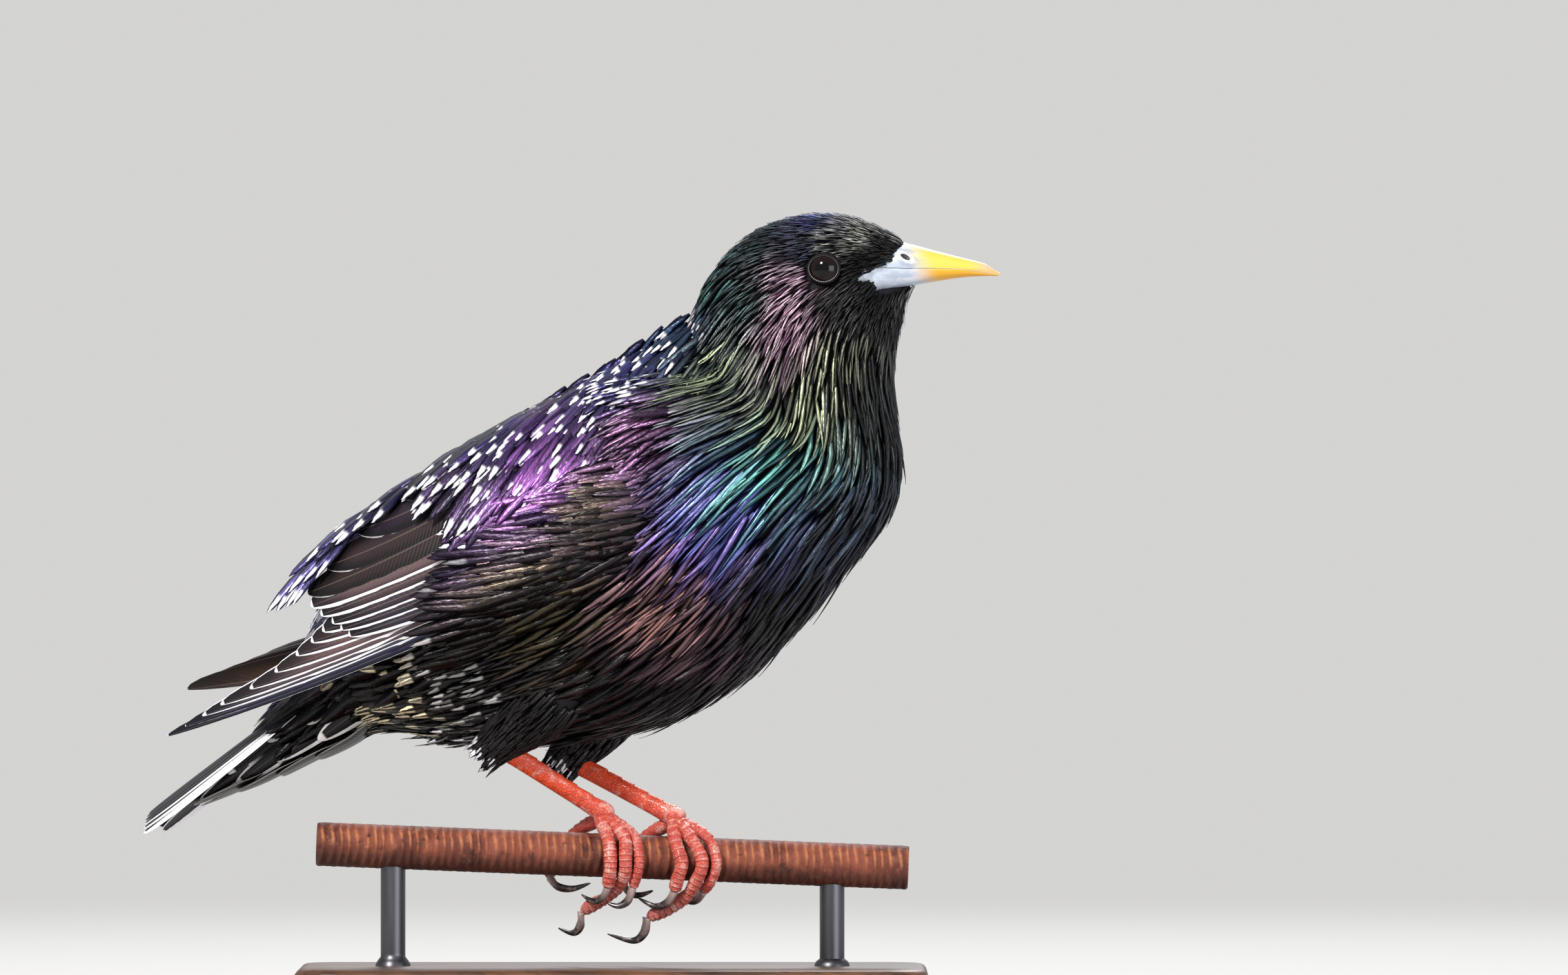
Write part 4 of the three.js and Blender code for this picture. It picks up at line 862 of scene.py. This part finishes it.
f = Finish("bill_horn", Specular_IOR_Level=0.55, Subsurface_Weight=0.08, Subsurface_Scale=0.001)
x, _, z = f.parts(f.place())
streaks = f.grain(500, 4, f.mapped(Scale=(0.25, 1, 1)))
slit_u, slit_v = from_nostril(x, z, MM)
from_slit = slit_u * slit_u * 0.64e6 + slit_v * slit_v * 4.0e6  # 1 at 1.25 mm along the slit or 0.5 mm across
above_mouth = z.step(0.1545, 0.155)
tip_pink = ("#e0b09a", x.step(0.0755, 0.0812) * z.step(0.1522, 0.1545))
horn = f.layers("#dcc650", ("#dfa21e", z.step(0.1542, 0.1532)), tip_pink)
horn = f.layers(
    f.mix("#a6afc0", "#cfd3dd", streaks.step(0.35, 0.65)),
    (horn, (x + streaks * 0.003 + (z - 0.154) * 0.4).step(0.0645, 0.0712)),
    ("#e6e6ee", from_slit.step(4.5, 2.5) * above_mouth * 0.7),
    # painted shade: the nostril's opening is near black
    ((0.01, 0.008, 0.008), from_slit.step(1.1, 0.6) * above_mouth),
)
f.bump(streaks, 0.0001, 0.3)
bill_material = f.wear(Base_Color=horn, Roughness=streaks * 0.2 + 0.3, Coat_Weight=0.1)
for name, outer, way, tip in (
    ("bill_upper_horn", BILL_RIDGE, 1, 82.4),
    ("bill_lower_horn", BILL_KEEL, -1, 81.7),
):
    half_bill = grid_piece(name, bill_half(outer, way, tip), bill_material, crease=60)
    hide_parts(name[:-5])

# Eyes. A wet dark brown ball sits in a shallow socket inside a thin bare lid, whose edge carries a row of
# tiny pale beads.
LID_WIDE, LID_TALL, LID_OFF, LID_SWELL = 3.12, 2.72, 11.15, 0.15
BEADS, BEAD_OFF = 52, 11.44
f = Finish("eye", Roughness=0.03, IOR=1.34)
x, _, z = f.parts(f.place())
from_middle = ((x - EYE_X * MM) ** 2 + (z - EYE_Z * MM) ** 2).math("SQRT") * 1000
iris = (f.mix("#0e0605", "#1d0d09", f.grain(1500)), from_middle.step(1.4, 1.6))
rim = ((0.006, 0.004, 0.004), from_middle.step(2.3, 2.7))
eye_material = f.wear(Base_Color=f.layers((0.002, 0.002, 0.003), iris, rim))

f = Finish("eyelid", Roughness=0.65, Specular_IOR_Level=0.2)
f.bump(f.grain(4000), 0.00005, 0.5)
lid_material = f.wear(Base_Color=f.mix("#060506", "#141113", f.grain(2500)))
bead_material = Finish("lid_beads", Base_Color="#e8e2e4", Roughness=0.35).material


def ball(centre, sizes, stations=24, sides=32):
    """A ball whose poles lie along y: its rings are circles of radius sin(t), closed at both ends."""
    t, turn = lattice(np.linspace(0.02, np.pi - 0.02, stations), circle(sides))
    return joined(np.sin(t) * np.cos(turn), np.cos(t), np.sin(t) * np.sin(turn)) * sizes + centre


def lid_oval(turn, y, swell=0.0, edge=0.0):
    """A point of the eye's oval opening, or of one wider all round by swell and edge."""
    x = EYE_X + (LID_WIDE + swell + edge) * np.cos(turn)
    z = EYE_Z + (LID_TALL + swell + edge) * np.sin(turn)
    return joined(x, y, z)


for side, word in ((1, "left"), (-1, "right")):
    eye = grid_piece(f"eyeball_{word}", ball((EYE_X, side * EYE_Y, EYE_Z), (EYE_R,) * 3), eye_material)
    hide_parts(f"eye_{word}")
    turn, round_ = lattice(np.linspace(0, 2 * np.pi, 73), circle(16))
    lift = LID_OFF + 0.34 * np.sin(round_) - 0.2 * np.maximum(0, np.cos(turn)) ** 2
    lid = lid_oval(turn, side * lift, LID_SWELL, 0.36 * np.cos(round_))
    grid_piece(f"eyelid_{word}", lid, lid_material)
    angle = circle(BEADS)
    bead_r = 0.035 + 0.05 * (0.5 - 0.5 * np.sin(angle)) ** 0.8
    middle = lid_oval(angle, side * BEAD_OFF)
    beads = middle[:, None, None] + ball((0, 0, 0), (1, 1, 1), 6, 8)[None] * bead_r[:, None, None, None]
    flat = beads.reshape(-1, 3)
    uvs = [("OFBake", 0.5 + 0.3 * (flat[:, [0, 2]] - (EYE_X, EYE_Z)) / LID_WIDE)]
    bead_quads = facing_out(flat, ring_quads(6, 8, BEADS))
    build(f"lid_beads_{word}", flat, bead_quads, bead_material, uvs=uvs)

# Legs. The thigh is a drumstick of soft dark feathers. The shank and the four toes are scaly skin over bone,
# with broad overlapping scutes in front and on top and soft pads below, and they clasp the bar.
VIEW_TURN = math.radians(10)
BAR_R, BAR_LONG, BAR_Z, BAR_DROOP = 4.7, 124.0, 31.1, math.radians(2.3)
FEET = {
    "right": {
        "knee": [-12, 12, 66],
        "ankle": [-24.2, 9.2, 54.6],
        "palm": [-2.0, 1.5, 40.2],
        "buried": -0.03,  # how far the shank goes on into the belly's feathers
        "toes": [  # radius, path from the palm to the claw, then the claw's path on from there
            [1.35, [[-2.4, -0.6, 39.0], [-5.5, -3.4, 37.5], [-9.4, -6.4, 34.2],
                    [-12.6, -7.3, 30], [-13.2, -5.4, 26.4]],
             [[-11.4, -3.4, 24.6], [-8.4, -0.8, 24.2], [-4.6, 1.2, 25.4]]],
            [1.1, [[-0.6, 2.4, 39.2], [4.4, 5.0, 35.5], [5.6, 6.6, 31], [5.2, 6.2, 27.3], [4.2, 5.0, 24.4]],
             [[3.2, 5.1, 21.8], [1.2, 5.0, 20.7], [-1.2, 4.4, 21.4]]],
            [1.35, [[-0.9, 2.4, 39.4], [2.4, 6.1, 35.2], [2.8, 7.3, 31], [2.6, 6.3, 27.3], [1.0, 2.8, 24.4],
                    [-2.6, 0.4, 21.6], [-6.6, -0.9, 19.2]],
             [[-6.8, -1.6, 16.4], [-8.3, -2.4, 14.9], [-11.4, -3.2, 15.9]]],
            [1.4, [[-2.6, 2.2, 39.0], [-1.0, 5.6, 35.3], [-0.4, 7.0, 31], [-0.5, 6.6, 27.5], [-1.0, 5.2, 24.6]],
             [[-2.0, 4.2, 22.5], [-4.0, 2.6, 21.7], [-6.5, 0.7, 23.0]]],
        ],
    },
    "left": {
        "knee": [1, -12, 65],
        "ankle": [-9.6, -8.6, 51.4],
        "palm": [13.0, -0.4, 39.2],
        "buried": 0.05,
        "toes": [
            [1.35, [[12.4, -1.2, 38.2], [8.8, -4.0, 36.3], [5.0, -6.6, 33], [2.4, -7.2, 29], [2.0, -5.4, 25.6]],
             [[3.2, -3.8, 23.6], [5.4, -1.6, 22.8], [8.5, 0.4, 23.8]]],
            [1.4, [[12.8, 0.6, 38.4], [13.2, 5.4, 34.2], [14.5, 7.0, 29.8], [13.7, 6.3, 26.5], [13, 5, 23.8]],
             [[11.6, 4.3, 21.5], [9.0, 3.2, 20.6], [5.4, 1.8, 22.3]]],
            [1.35, [[13.8, 0.8, 38.4], [17.0, 5.6, 34.0], [18.8, 7.2, 29.8], [17.4, 5.7, 25.6],
                    [15.0, 3.2, 22.2], [11, 1.4, 19.6], [7.2, 0.3, 18.1]],
             [[6.6, -0.3, 15.0], [4.2, -1.3, 13.3], [-1.1, -2.4, 14.7]]],
            [1.1, [[14.2, 0.0, 38.4], [19.8, 4.3, 35.2], [21.8, 6.4, 30], [20.6, 5.2, 25.8], [19.0, 3.0, 23.8]],
             [[17.6, 1.0, 22.0], [15.6, -0.6, 21.7], [12.5, -1.7, 23.1]]],
        ],
    },
}


def view_point(run, near, z):
    """From the perch's frame, where run is across the view and near is towards the viewer, to the part's."""
    c, d = math.cos(VIEW_TURN), math.sin(VIEW_TURN)
    return joined(run * c + near * d, run * d - near * c, z)


def tube(controls, stations, sides, radii, outward):
    """A tube along the smooth curve through controls. radii(t, turn) gives a half width and half height at
    every station and turn; turn is 90 degrees on the side that outward(centre) points to."""
    controls = view_point(*np.array(controls, float).T)
    t = np.linspace(0, 1, stations)
    centre = joined(*(along(controls[:, k], t * (len(controls) - 1)) for k in range(3)))
    course = unit(np.gradient(centre, axis=0))
    side = unit(np.cross(course, outward(centre)))
    over = np.cross(side, course)
    turn = circle(sides)
    wide, high = radii(t[:, None], turn[None])
    across = side[:, None] * (wide * np.cos(turn))[..., None]
    return centre[:, None] + across + over[:, None] * (high * np.sin(turn))[..., None]


def from_bar(centre):
    """The direction away from the bar's axis."""
    axis = view_point(1.0, 0.0, 0.0)
    flat = centre - (0, 0, BAR_Z)
    return unit(flat - axis * (flat @ axis)[:, None])


def to_viewer(centre):
    """The direction towards the viewer."""
    return np.tile(view_point(0, 1.0, 0), (len(centre), 1))


def saw(x):
    return x - np.floor(x)


def toe_radii(r, scutes, pads):
    """Scutes step up the top of the toe like tiles, pads swell its underside, and it rounds off at the end."""

    def radii(t, turn):
        top = np.clip(np.sin(turn) + 0.35, 0, 1)
        under = np.clip(-np.sin(turn) + 0.2, 0, 1)
        end = np.sqrt(np.clip(1 - ramp(t, 0.9, 0.1) ** 2, 0.02, 1))
        tiles = 0.2 * (saw(t * scutes) - 0.5) * top
        shape = 1.04 - 0.1 * t + tiles + 0.34 * (np.abs(np.sin(np.pi * t * pads)) - 0.4) * under
        return r * shape * end, r * shape * end * (1 + 0.08 * under)

    return radii


def shank_radii(t, turn):
    """A deep narrow oval with tall scutes down its front edge, swelling at both joints."""
    front = np.clip(np.cos(turn - np.pi) * 1.2, 0, 1)
    ends = 1 + 0.3 * np.abs(2 * t - 1) ** 5
    tile = 0.24 * (saw(t * 8 + 0.3) - 0.5) * front
    return (1.95 * (1.06 - 0.12 * t) + tile) * ends, (1.2 + 0.3 * tile) * ends


def claw_radii(t, turn):
    """A hooked cone, deeper than wide."""
    size = np.clip(1 - t * 0.985, 0.01, 1) ** 0.62
    return 0.8 * size, 1.3 * size


f = Finish("leg_skin", Specular_IOR_Level=0.5, Subsurface_Weight=0.12, Subsurface_Scale=0.002)
*_, z = f.parts(f.place())
mottle = f.grain(420, 4)
scales = f.node("TexVoronoi", {"feature": "DISTANCE_TO_EDGE"}, {"Vector": f.place(), "Scale": 1300.0})
ridge = f.read("ridge", "Fac")
leg_tone = f.layers(
    "#ea4a1a",
    ("#cf5a4e", z.step(0.046, 0.036)),
    ("#b9655f", z.step(0.026, 0.019)),
    ("#f3cbbd", mottle.step(0.52, 0.72) * 0.55),
    ("#a52f1c", mottle.step(0.46, 0.3) * 0.55),
)
leg_tone = f.layers(
    "#8f3a30",
    (leg_tone, scales.step(0.0, 0.16) * 0.6 + 0.4),
    # painted highlight: the raised scute crests of the toes are laid pale
    ("#f0bfb2", ridge.step(0.58, 0.95) * mottle.step(0.3, 0.6) * z.step(0.046, 0.040) * 0.6),
    ("#b8402e", ridge.step(0.42, 0.1) * 0.5),
)
f.bump(scales.step(0.0, 0.2) + mottle * 0.5, 0.00012, 0.6)
leg_material = f.wear(Base_Color=leg_tone, Roughness=mottle * 0.25 + 0.3, Coat_Weight=0.1)

f = Finish("claw_horn", Specular_IOR_Level=0.5)
grain = f.grain(900, 3)
_, from_base, _ = f.parts(f.node("UVMap", {"uv_map": "OFBake"}))
claw_tone = f.mix("#a8928c", f.mix("#1c1819", "#6a5a58", grain.step(0.45, 0.7)), from_base.step(0.0, 0.5))
claw_material = f.wear(Base_Color=claw_tone, Roughness=grain * 0.2 + 0.2, Coat_Weight=0.3)


def several(name, grids, material):
    """Several closed tubes as one piece, each with its own strip of the bake map. ridge is how far a point
    stands out from the mean of its neighbours along the tube: a half where it is level with them."""
    points, quads, uvs, ridges, first = [], [], [], [], 0
    for i, grid in enumerate(grids):
        stations, sides = grid.shape[:2]
        flat = grid.reshape(-1, 3)
        quads.append(facing_out(flat, ring_quads(stations, sides)) + first)
        v, u = lattice(np.linspace(0.02, 0.98, stations), np.linspace(0.06, 0.94, sides))
        uvs.append(joined((u.ravel() + i) / len(grids), v.ravel()))
        off_axis = np.linalg.norm(grid - grid.mean(1, keepdims=True), axis=-1)
        mean = sum(np.roll(off_axis, k, axis=0) for k in range(-4, 5)) / 9
        ridges.append(np.clip(0.5 + 4 * (off_axis - mean), 0, 1).reshape(-1, 1).repeat(3, 1))
        points.append(flat)
        first += len(flat)
    uvs, vectors = [("OFBake", np.concatenate(uvs))], [("ridge", np.concatenate(ridges))]
    return build(name, np.concatenate(points), np.concatenate(quads), material, uvs=uvs, vectors=vectors)


THIGH_AT, THIGH_R = [0, 0.35, 0.7, 1.0, 1.25], [7.6, 7.0, 5.7, 4.0, 3.3]
THIGH_FEATHERS = 560


def on_thigh(knee, ankle, at, turn):
    """A place function on the drumstick: a runs down it, b round it, h stands off it."""
    course = ankle - knee
    long = np.linalg.norm(course)
    course = course / long
    side = unit(np.cross(course, (0, 1, 0)))
    over = np.cross(side, course)

    def place(a, b, h):
        t = at[:, None, None] + a / long
        r = profile(THIGH_AT, THIGH_R, t) + h
        w = turn[:, None, None] + b / np.maximum(r, 2.0)
        down, across = course * (t * long)[..., None], side * (r * np.cos(w))[..., None]
        return knee + down + across + over * (0.8 * r * np.sin(w))[..., None]

    return place


for number, (word, foot) in enumerate(FEET.items()):
    rng = np.random.default_rng(70 + number)
    toes, hooks = [], []
    for r, path, hook in foot["toes"]:
        bends = len(path)
        toes.append(tube(path, 26 * bends, 20, toe_radii(r, 4 * bends - 6, bends - 2), from_bar))
        hooks.append(tube([path[-1], *hook], 40, 12, claw_radii, from_bar))
    ankle, palm = np.array(foot["ankle"]), np.array(foot["palm"])
    top = ankle + (ankle - palm) * foot["buried"]
    shank_path = [top, ankle * 0.67 + palm * 0.33, ankle * 0.33 + palm * 0.67, palm]
    shank = tube(shank_path, 120, 28, shank_radii, to_viewer)
    palm_ball = ball(view_point(*palm), (2.5, 2.3, 2.2), 16, 24)
    leg = several(f"leg_{word}", [shank, palm_ball, *toes], leg_material)
    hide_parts(f"shank_{word}", f"foot_{word}")
    claws = several(f"claws_{word}", hooks, claw_material)
    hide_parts(*(f"claw_{word}_{k}" for k in (1, 2, 3, 4)))
    knee, ankle = view_point(*foot["knee"]), view_point(*foot["ankle"])
    n = THIGH_FEATHERS
    at = np.sort(rng.uniform(-0.1, 0.98, n))
    turn = rng.uniform(0, 2 * np.pi, n)
    look = plain_look([("#110e10", "#3b3336")] * n, 0.0, 0.5, 0.0) * rng.uniform(0.7, 1.3, (n, 1))
    low = at > 0.8
    look[low, 6] = 0.6 * (rng.random(low.sum()) < 0.35)
    bake = joined(0.02 + 0.96 * turn / (2 * np.pi), 0.1 + 0.8 * at)
    tuft = feathers(
        f"thigh_feathers_{word}", on_thigh(knee, ankle, at, turn), rng.uniform(5, 7, n), 0.8,
        (-0.6, 0.5), look, bake, coat_material, tip=2.0,
    )
    t, w = lattice(np.linspace(-0.15, 1.1, 30), circle(32))
    stick = on_thigh(knee, ankle, t.ravel(), w.ravel())(0, 0, -0.7)[:, 0, 0].reshape(30, 32, 3)
    grid_piece(f"thigh_{word}_skin", stick, skin_material)

# Perch. A cut length of hot-rolled reinforcing bar, rusted all over, with close crescent ribs that fade at
# its two plain seams, and sawn ends.
RIB_PITCH, RIB_TALL = 1.8, 0.42


def bar_point(reach, turn, out):
    """A point of the bar: along its drooping axis, at a turn from straight up towards the viewer."""
    c, d = math.cos(BAR_DROOP), math.sin(BAR_DROOP)
    up = out * np.cos(turn)
    return view_point(reach * c + up * d, out * np.sin(turn), BAR_Z - reach * d + up * c)


reach, turn = lattice(np.linspace(-BAR_LONG / 2, BAR_LONG / 2, 1100), circle(48))
across = (turn / np.pi) % 1  # 0 at a seam, a half in the middle of a ribbed flank
window = np.clip(np.sin(np.pi * across) * 1.7 - 0.35, 0, 1)
phase = reach / RIB_PITCH + 0.55 * np.cos(np.pi * across) ** 2 + 0.12 * np.sin(reach * 0.9)
rib = np.exp(-(((saw(phase) - 0.5) / 0.26) ** 2)) * window
uneven = 0.05 * np.sin(reach * 3.1 + 2 * np.sin(turn * 3)) * np.sin(turn * 5 + reach)
sawn = ramp(-np.abs(reach), -BAR_LONG / 2, 0.5)
out = (BAR_R - 0.12 + RIB_TALL * rib + uneven) * (0.93 + 0.07 * np.sqrt(sawn))
f = Finish("rusty_bar", Specular_IOR_Level=0.35)
coarse, middling, fine = (f.grain(scale, 6, rough=0.65) for scale in (90, 420, 1800))
high, upper_side, _ = f.parts(f.read("rib", "Vector"))
# Rust with painted light: a painted highlight on the upper rib crests and painted shade on the lower side.
rust_and_painted_light = f.layers(
    "#5a2a20",
    ("#8c4a36", coarse.step(0.38, 0.62)),
    ("#b57c5c", middling.step(0.55, 0.75) * 0.6),
    ("#2a1815", middling.step(0.46, 0.28) * 0.8),
    ("#4b4a58", coarse.step(0.62, 0.78) * 0.5),
    # painted highlight on the rib crests of the upper side
    ("#c07a50", high.step(0.35, 0.95) * upper_side.step(0.4, 0.7) * middling.step(0.3, 0.6) * 0.7),
    # painted shade on the lower side
    ("#3c2823", upper_side.step(0.5, 0.25) * 0.6),
    ("#4a2219", high.step(0.25, 0.0) * 0.3),
)
f.bump(fine + middling, 0.0002, 0.6)
bar_material = f.wear(Base_Color=rust_and_painted_light, Roughness=fine * 0.3 + 0.5, Metallic=coarse.step(0.6, 0.8) * 0.4)
ribs = [("rib", joined(rib, 0.5 + 0.5 * np.cos(turn), rib).reshape(-1, 3))]
bar = grid_piece("ribbed_bar", bar_point(reach, turn, out), bar_material, crease=70, vectors=ribs)
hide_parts("perch_bar")

# Stand. Two satin steel rods rise from a plain dark wooden base with rounded corners and a softened edge.
ROD_R, ROD_REACH = 2.6, 46.0
BASE_LONG, BASE_WIDE, BASE_TALL, BASE_CORNER = 132.0, 74.0, 8.0, 9.0
BASE_RIMS = np.array(  # height, and how far the edge is drawn in there
    [[0, 1.2], [0.3, 0.5], [0.9, 0.1], [1.6, 0], [6.2, 0], [7, 0.15], [7.6, 0.6], [7.9, 1.2], [8, 2]]
)
f = Finish("dark_wood", Specular_IOR_Level=0.4, Coat_Weight=0.2, Coat_Roughness=0.3)
along_grain = f.mapped(Rotation=(0, 0, -VIEW_TURN), Scale=(0.12, 1, 1))
figure = f.grain(160, 5, along_grain, 0.6)
pores = f.grain(1500, 3, along_grain)
f.bump(pores, 0.0001, 0.4)
wood = f.layers("#3a2417", ("#6b4529", figure.step(0.35, 0.65)), ("#20130c", pores.step(0.45, 0.3) * 0.6))
wood_material = f.wear(Base_Color=wood, Roughness=figure * 0.2 + 0.35)

turn = circle(128)
round_ = joined(np.cos(turn), np.sin(turn))
corner = np.sign(round_) * (BASE_LONG / 2 - BASE_CORNER, BASE_WIDE / 2 - BASE_CORNER)
outline = corner[None] + (BASE_CORNER - BASE_RIMS[:, 1])[:, None, None] * round_[None]
rims = np.broadcast_to(BASE_RIMS[:, :1], outline.shape[:2])
base_grid = view_point(outline[..., 0], -outline[..., 1], rims)
base = grid_piece("wooden_base", base_grid, wood_material, crease=40)
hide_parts("stand_base")

f = Finish("satin_steel", Metallic=1.0)
brushed = f.grain(700, 3, f.mapped(Scale=(1, 1, 0.06)))
f.bump(brushed, 0.00004, 0.4)
steel_material = f.wear(Base_Color=f.mix("#4a4a4e", "#6f6f74", brushed), Roughness=brushed * 0.2 + 0.28)
for word, way in (("left", -1), ("right", 1)):
    top = bar_point(way * ROD_REACH, 0.0, 0.0)
    t, turn = lattice(np.linspace(0, 1, 30), circle(40))
    long = top[2] - BASE_TALL
    r = ROD_R * (1 + 0.45 * np.clip(1.25 - t * long / 1.6, 0, 1) ** 0.4)  # swelling to a collar at the foot
    z = BASE_TALL - 0.2 + t * (long - BAR_R * 0.82)
    rod = joined(top[0] + r * np.cos(turn), top[1] + r * np.sin(turn), z)
    piece = grid_piece(f"rod_{word}", rod, steel_material, crease=40)
    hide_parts(f"stand_rod_{word}")

# Floor, light and camera. A plain pale floor, a large soft key from the upper left behind the camera, a weak
# fill and a rim from behind. The camera is level, four metres off, and turned ten degrees round the bird.
PHOTO_WIDE, MM_PER_PIXEL = 2432, 0.135
FRAME_WIDE = PHOTO_WIDE * MM_PER_PIXEL
CAMERA_OFF = 4000.0
FRAME_MIDDLE = (35.9, 0.0, 108.2)
FLOOR_R, FLOOR_SIDES, FADE_FROM, FADE_TO = 1250.0, 96, 0.20, 1.1

f = Finish("floor", Base_Color=(0.62, 0.61, 0.59), Roughness=0.85)
x, y, _ = f.parts(f.place())
floor_material = f.wear(Alpha=(x * x + y * y).math("SQRT").step(FADE_TO, FADE_FROM))
rings, turn = lattice(np.array([0.0005, 0.25, 0.5, 0.75, 1.0]) * FLOOR_R, circle(FLOOR_SIDES))
floor_points = joined(rings * np.cos(turn), rings * np.sin(turn), 0 * turn).reshape(-1, 3)
floor_quads = ring_quads(len(rings), FLOOR_SIDES)[0, : (len(rings) - 1) * FLOOR_SIDES]  # without the ends
floor = build("floor", floor_points, floor_quads, floor_material, rides=False)

for label, (run, near, z), size, power, tint in (
    ("key", (-900, 1500, 1500), 0.45, 50, (1.0, 0.97, 0.92)),
    ("fill", (1300, 1500, 200), 1.2, 22, (0.9, 0.95, 1.0)),
    ("rim", (300, -1500, 1300), 0.8, 24, (0.95, 0.97, 1.0)),
):
    lamp = bpy.data.lights.new(label, "AREA")
    lamp.size, lamp.energy, lamp.color = size, power, tint
    holder = bpy.data.objects.new(label, lamp)
    bpy.context.scene.collection.objects.link(holder)
    place = view_point(run, near, z) * MM
    holder.location = place
    aim = view_point(0, 0, 100) * MM - place
    yaw = math.atan2(aim[1], aim[0]) - math.pi / 2
    holder.rotation_euler = (math.pi / 2 + math.atan2(aim[2], math.hypot(aim[0], aim[1])), 0, yaw)

world = bpy.data.worlds.new("room")
world.use_nodes = True
nodes, join = world.node_tree.nodes, world.node_tree.links.new
room_light, backdrop = nodes["Background"], nodes.new("ShaderNodeBackground")
room_light.inputs["Color"].default_value = (0.80, 0.82, 0.86, 1)
room_light.inputs["Strength"].default_value = 0.55
backdrop.inputs["Color"].default_value = (0.66, 0.655, 0.64, 1)
either = nodes.new("ShaderNodeMixShader")
join(nodes.new("ShaderNodeLightPath").outputs["Is Camera Ray"], either.inputs[0])
join(room_light.outputs[0], either.inputs[1])
join(backdrop.outputs[0], either.inputs[2])
join(either.outputs[0], nodes["World Output"].inputs["Surface"])
bpy.context.scene.world = world

camera_data = bpy.data.cameras.new("camera")
camera_data.sensor_width = 36
camera_data.lens = 36 * CAMERA_OFF / FRAME_WIDE
camera_data.clip_end = 100
camera = bpy.data.objects.new("camera", camera_data)
camera.location = view_point(FRAME_MIDDLE[0], CAMERA_OFF, FRAME_MIDDLE[2]) * MM
camera.rotation_euler = (math.pi / 2, 0, VIEW_TURN)
bpy.context.scene.collection.objects.link(camera)
bpy.context.scene.camera = camera
bpy.context.scene.view_settings.view_transform = "Standard"
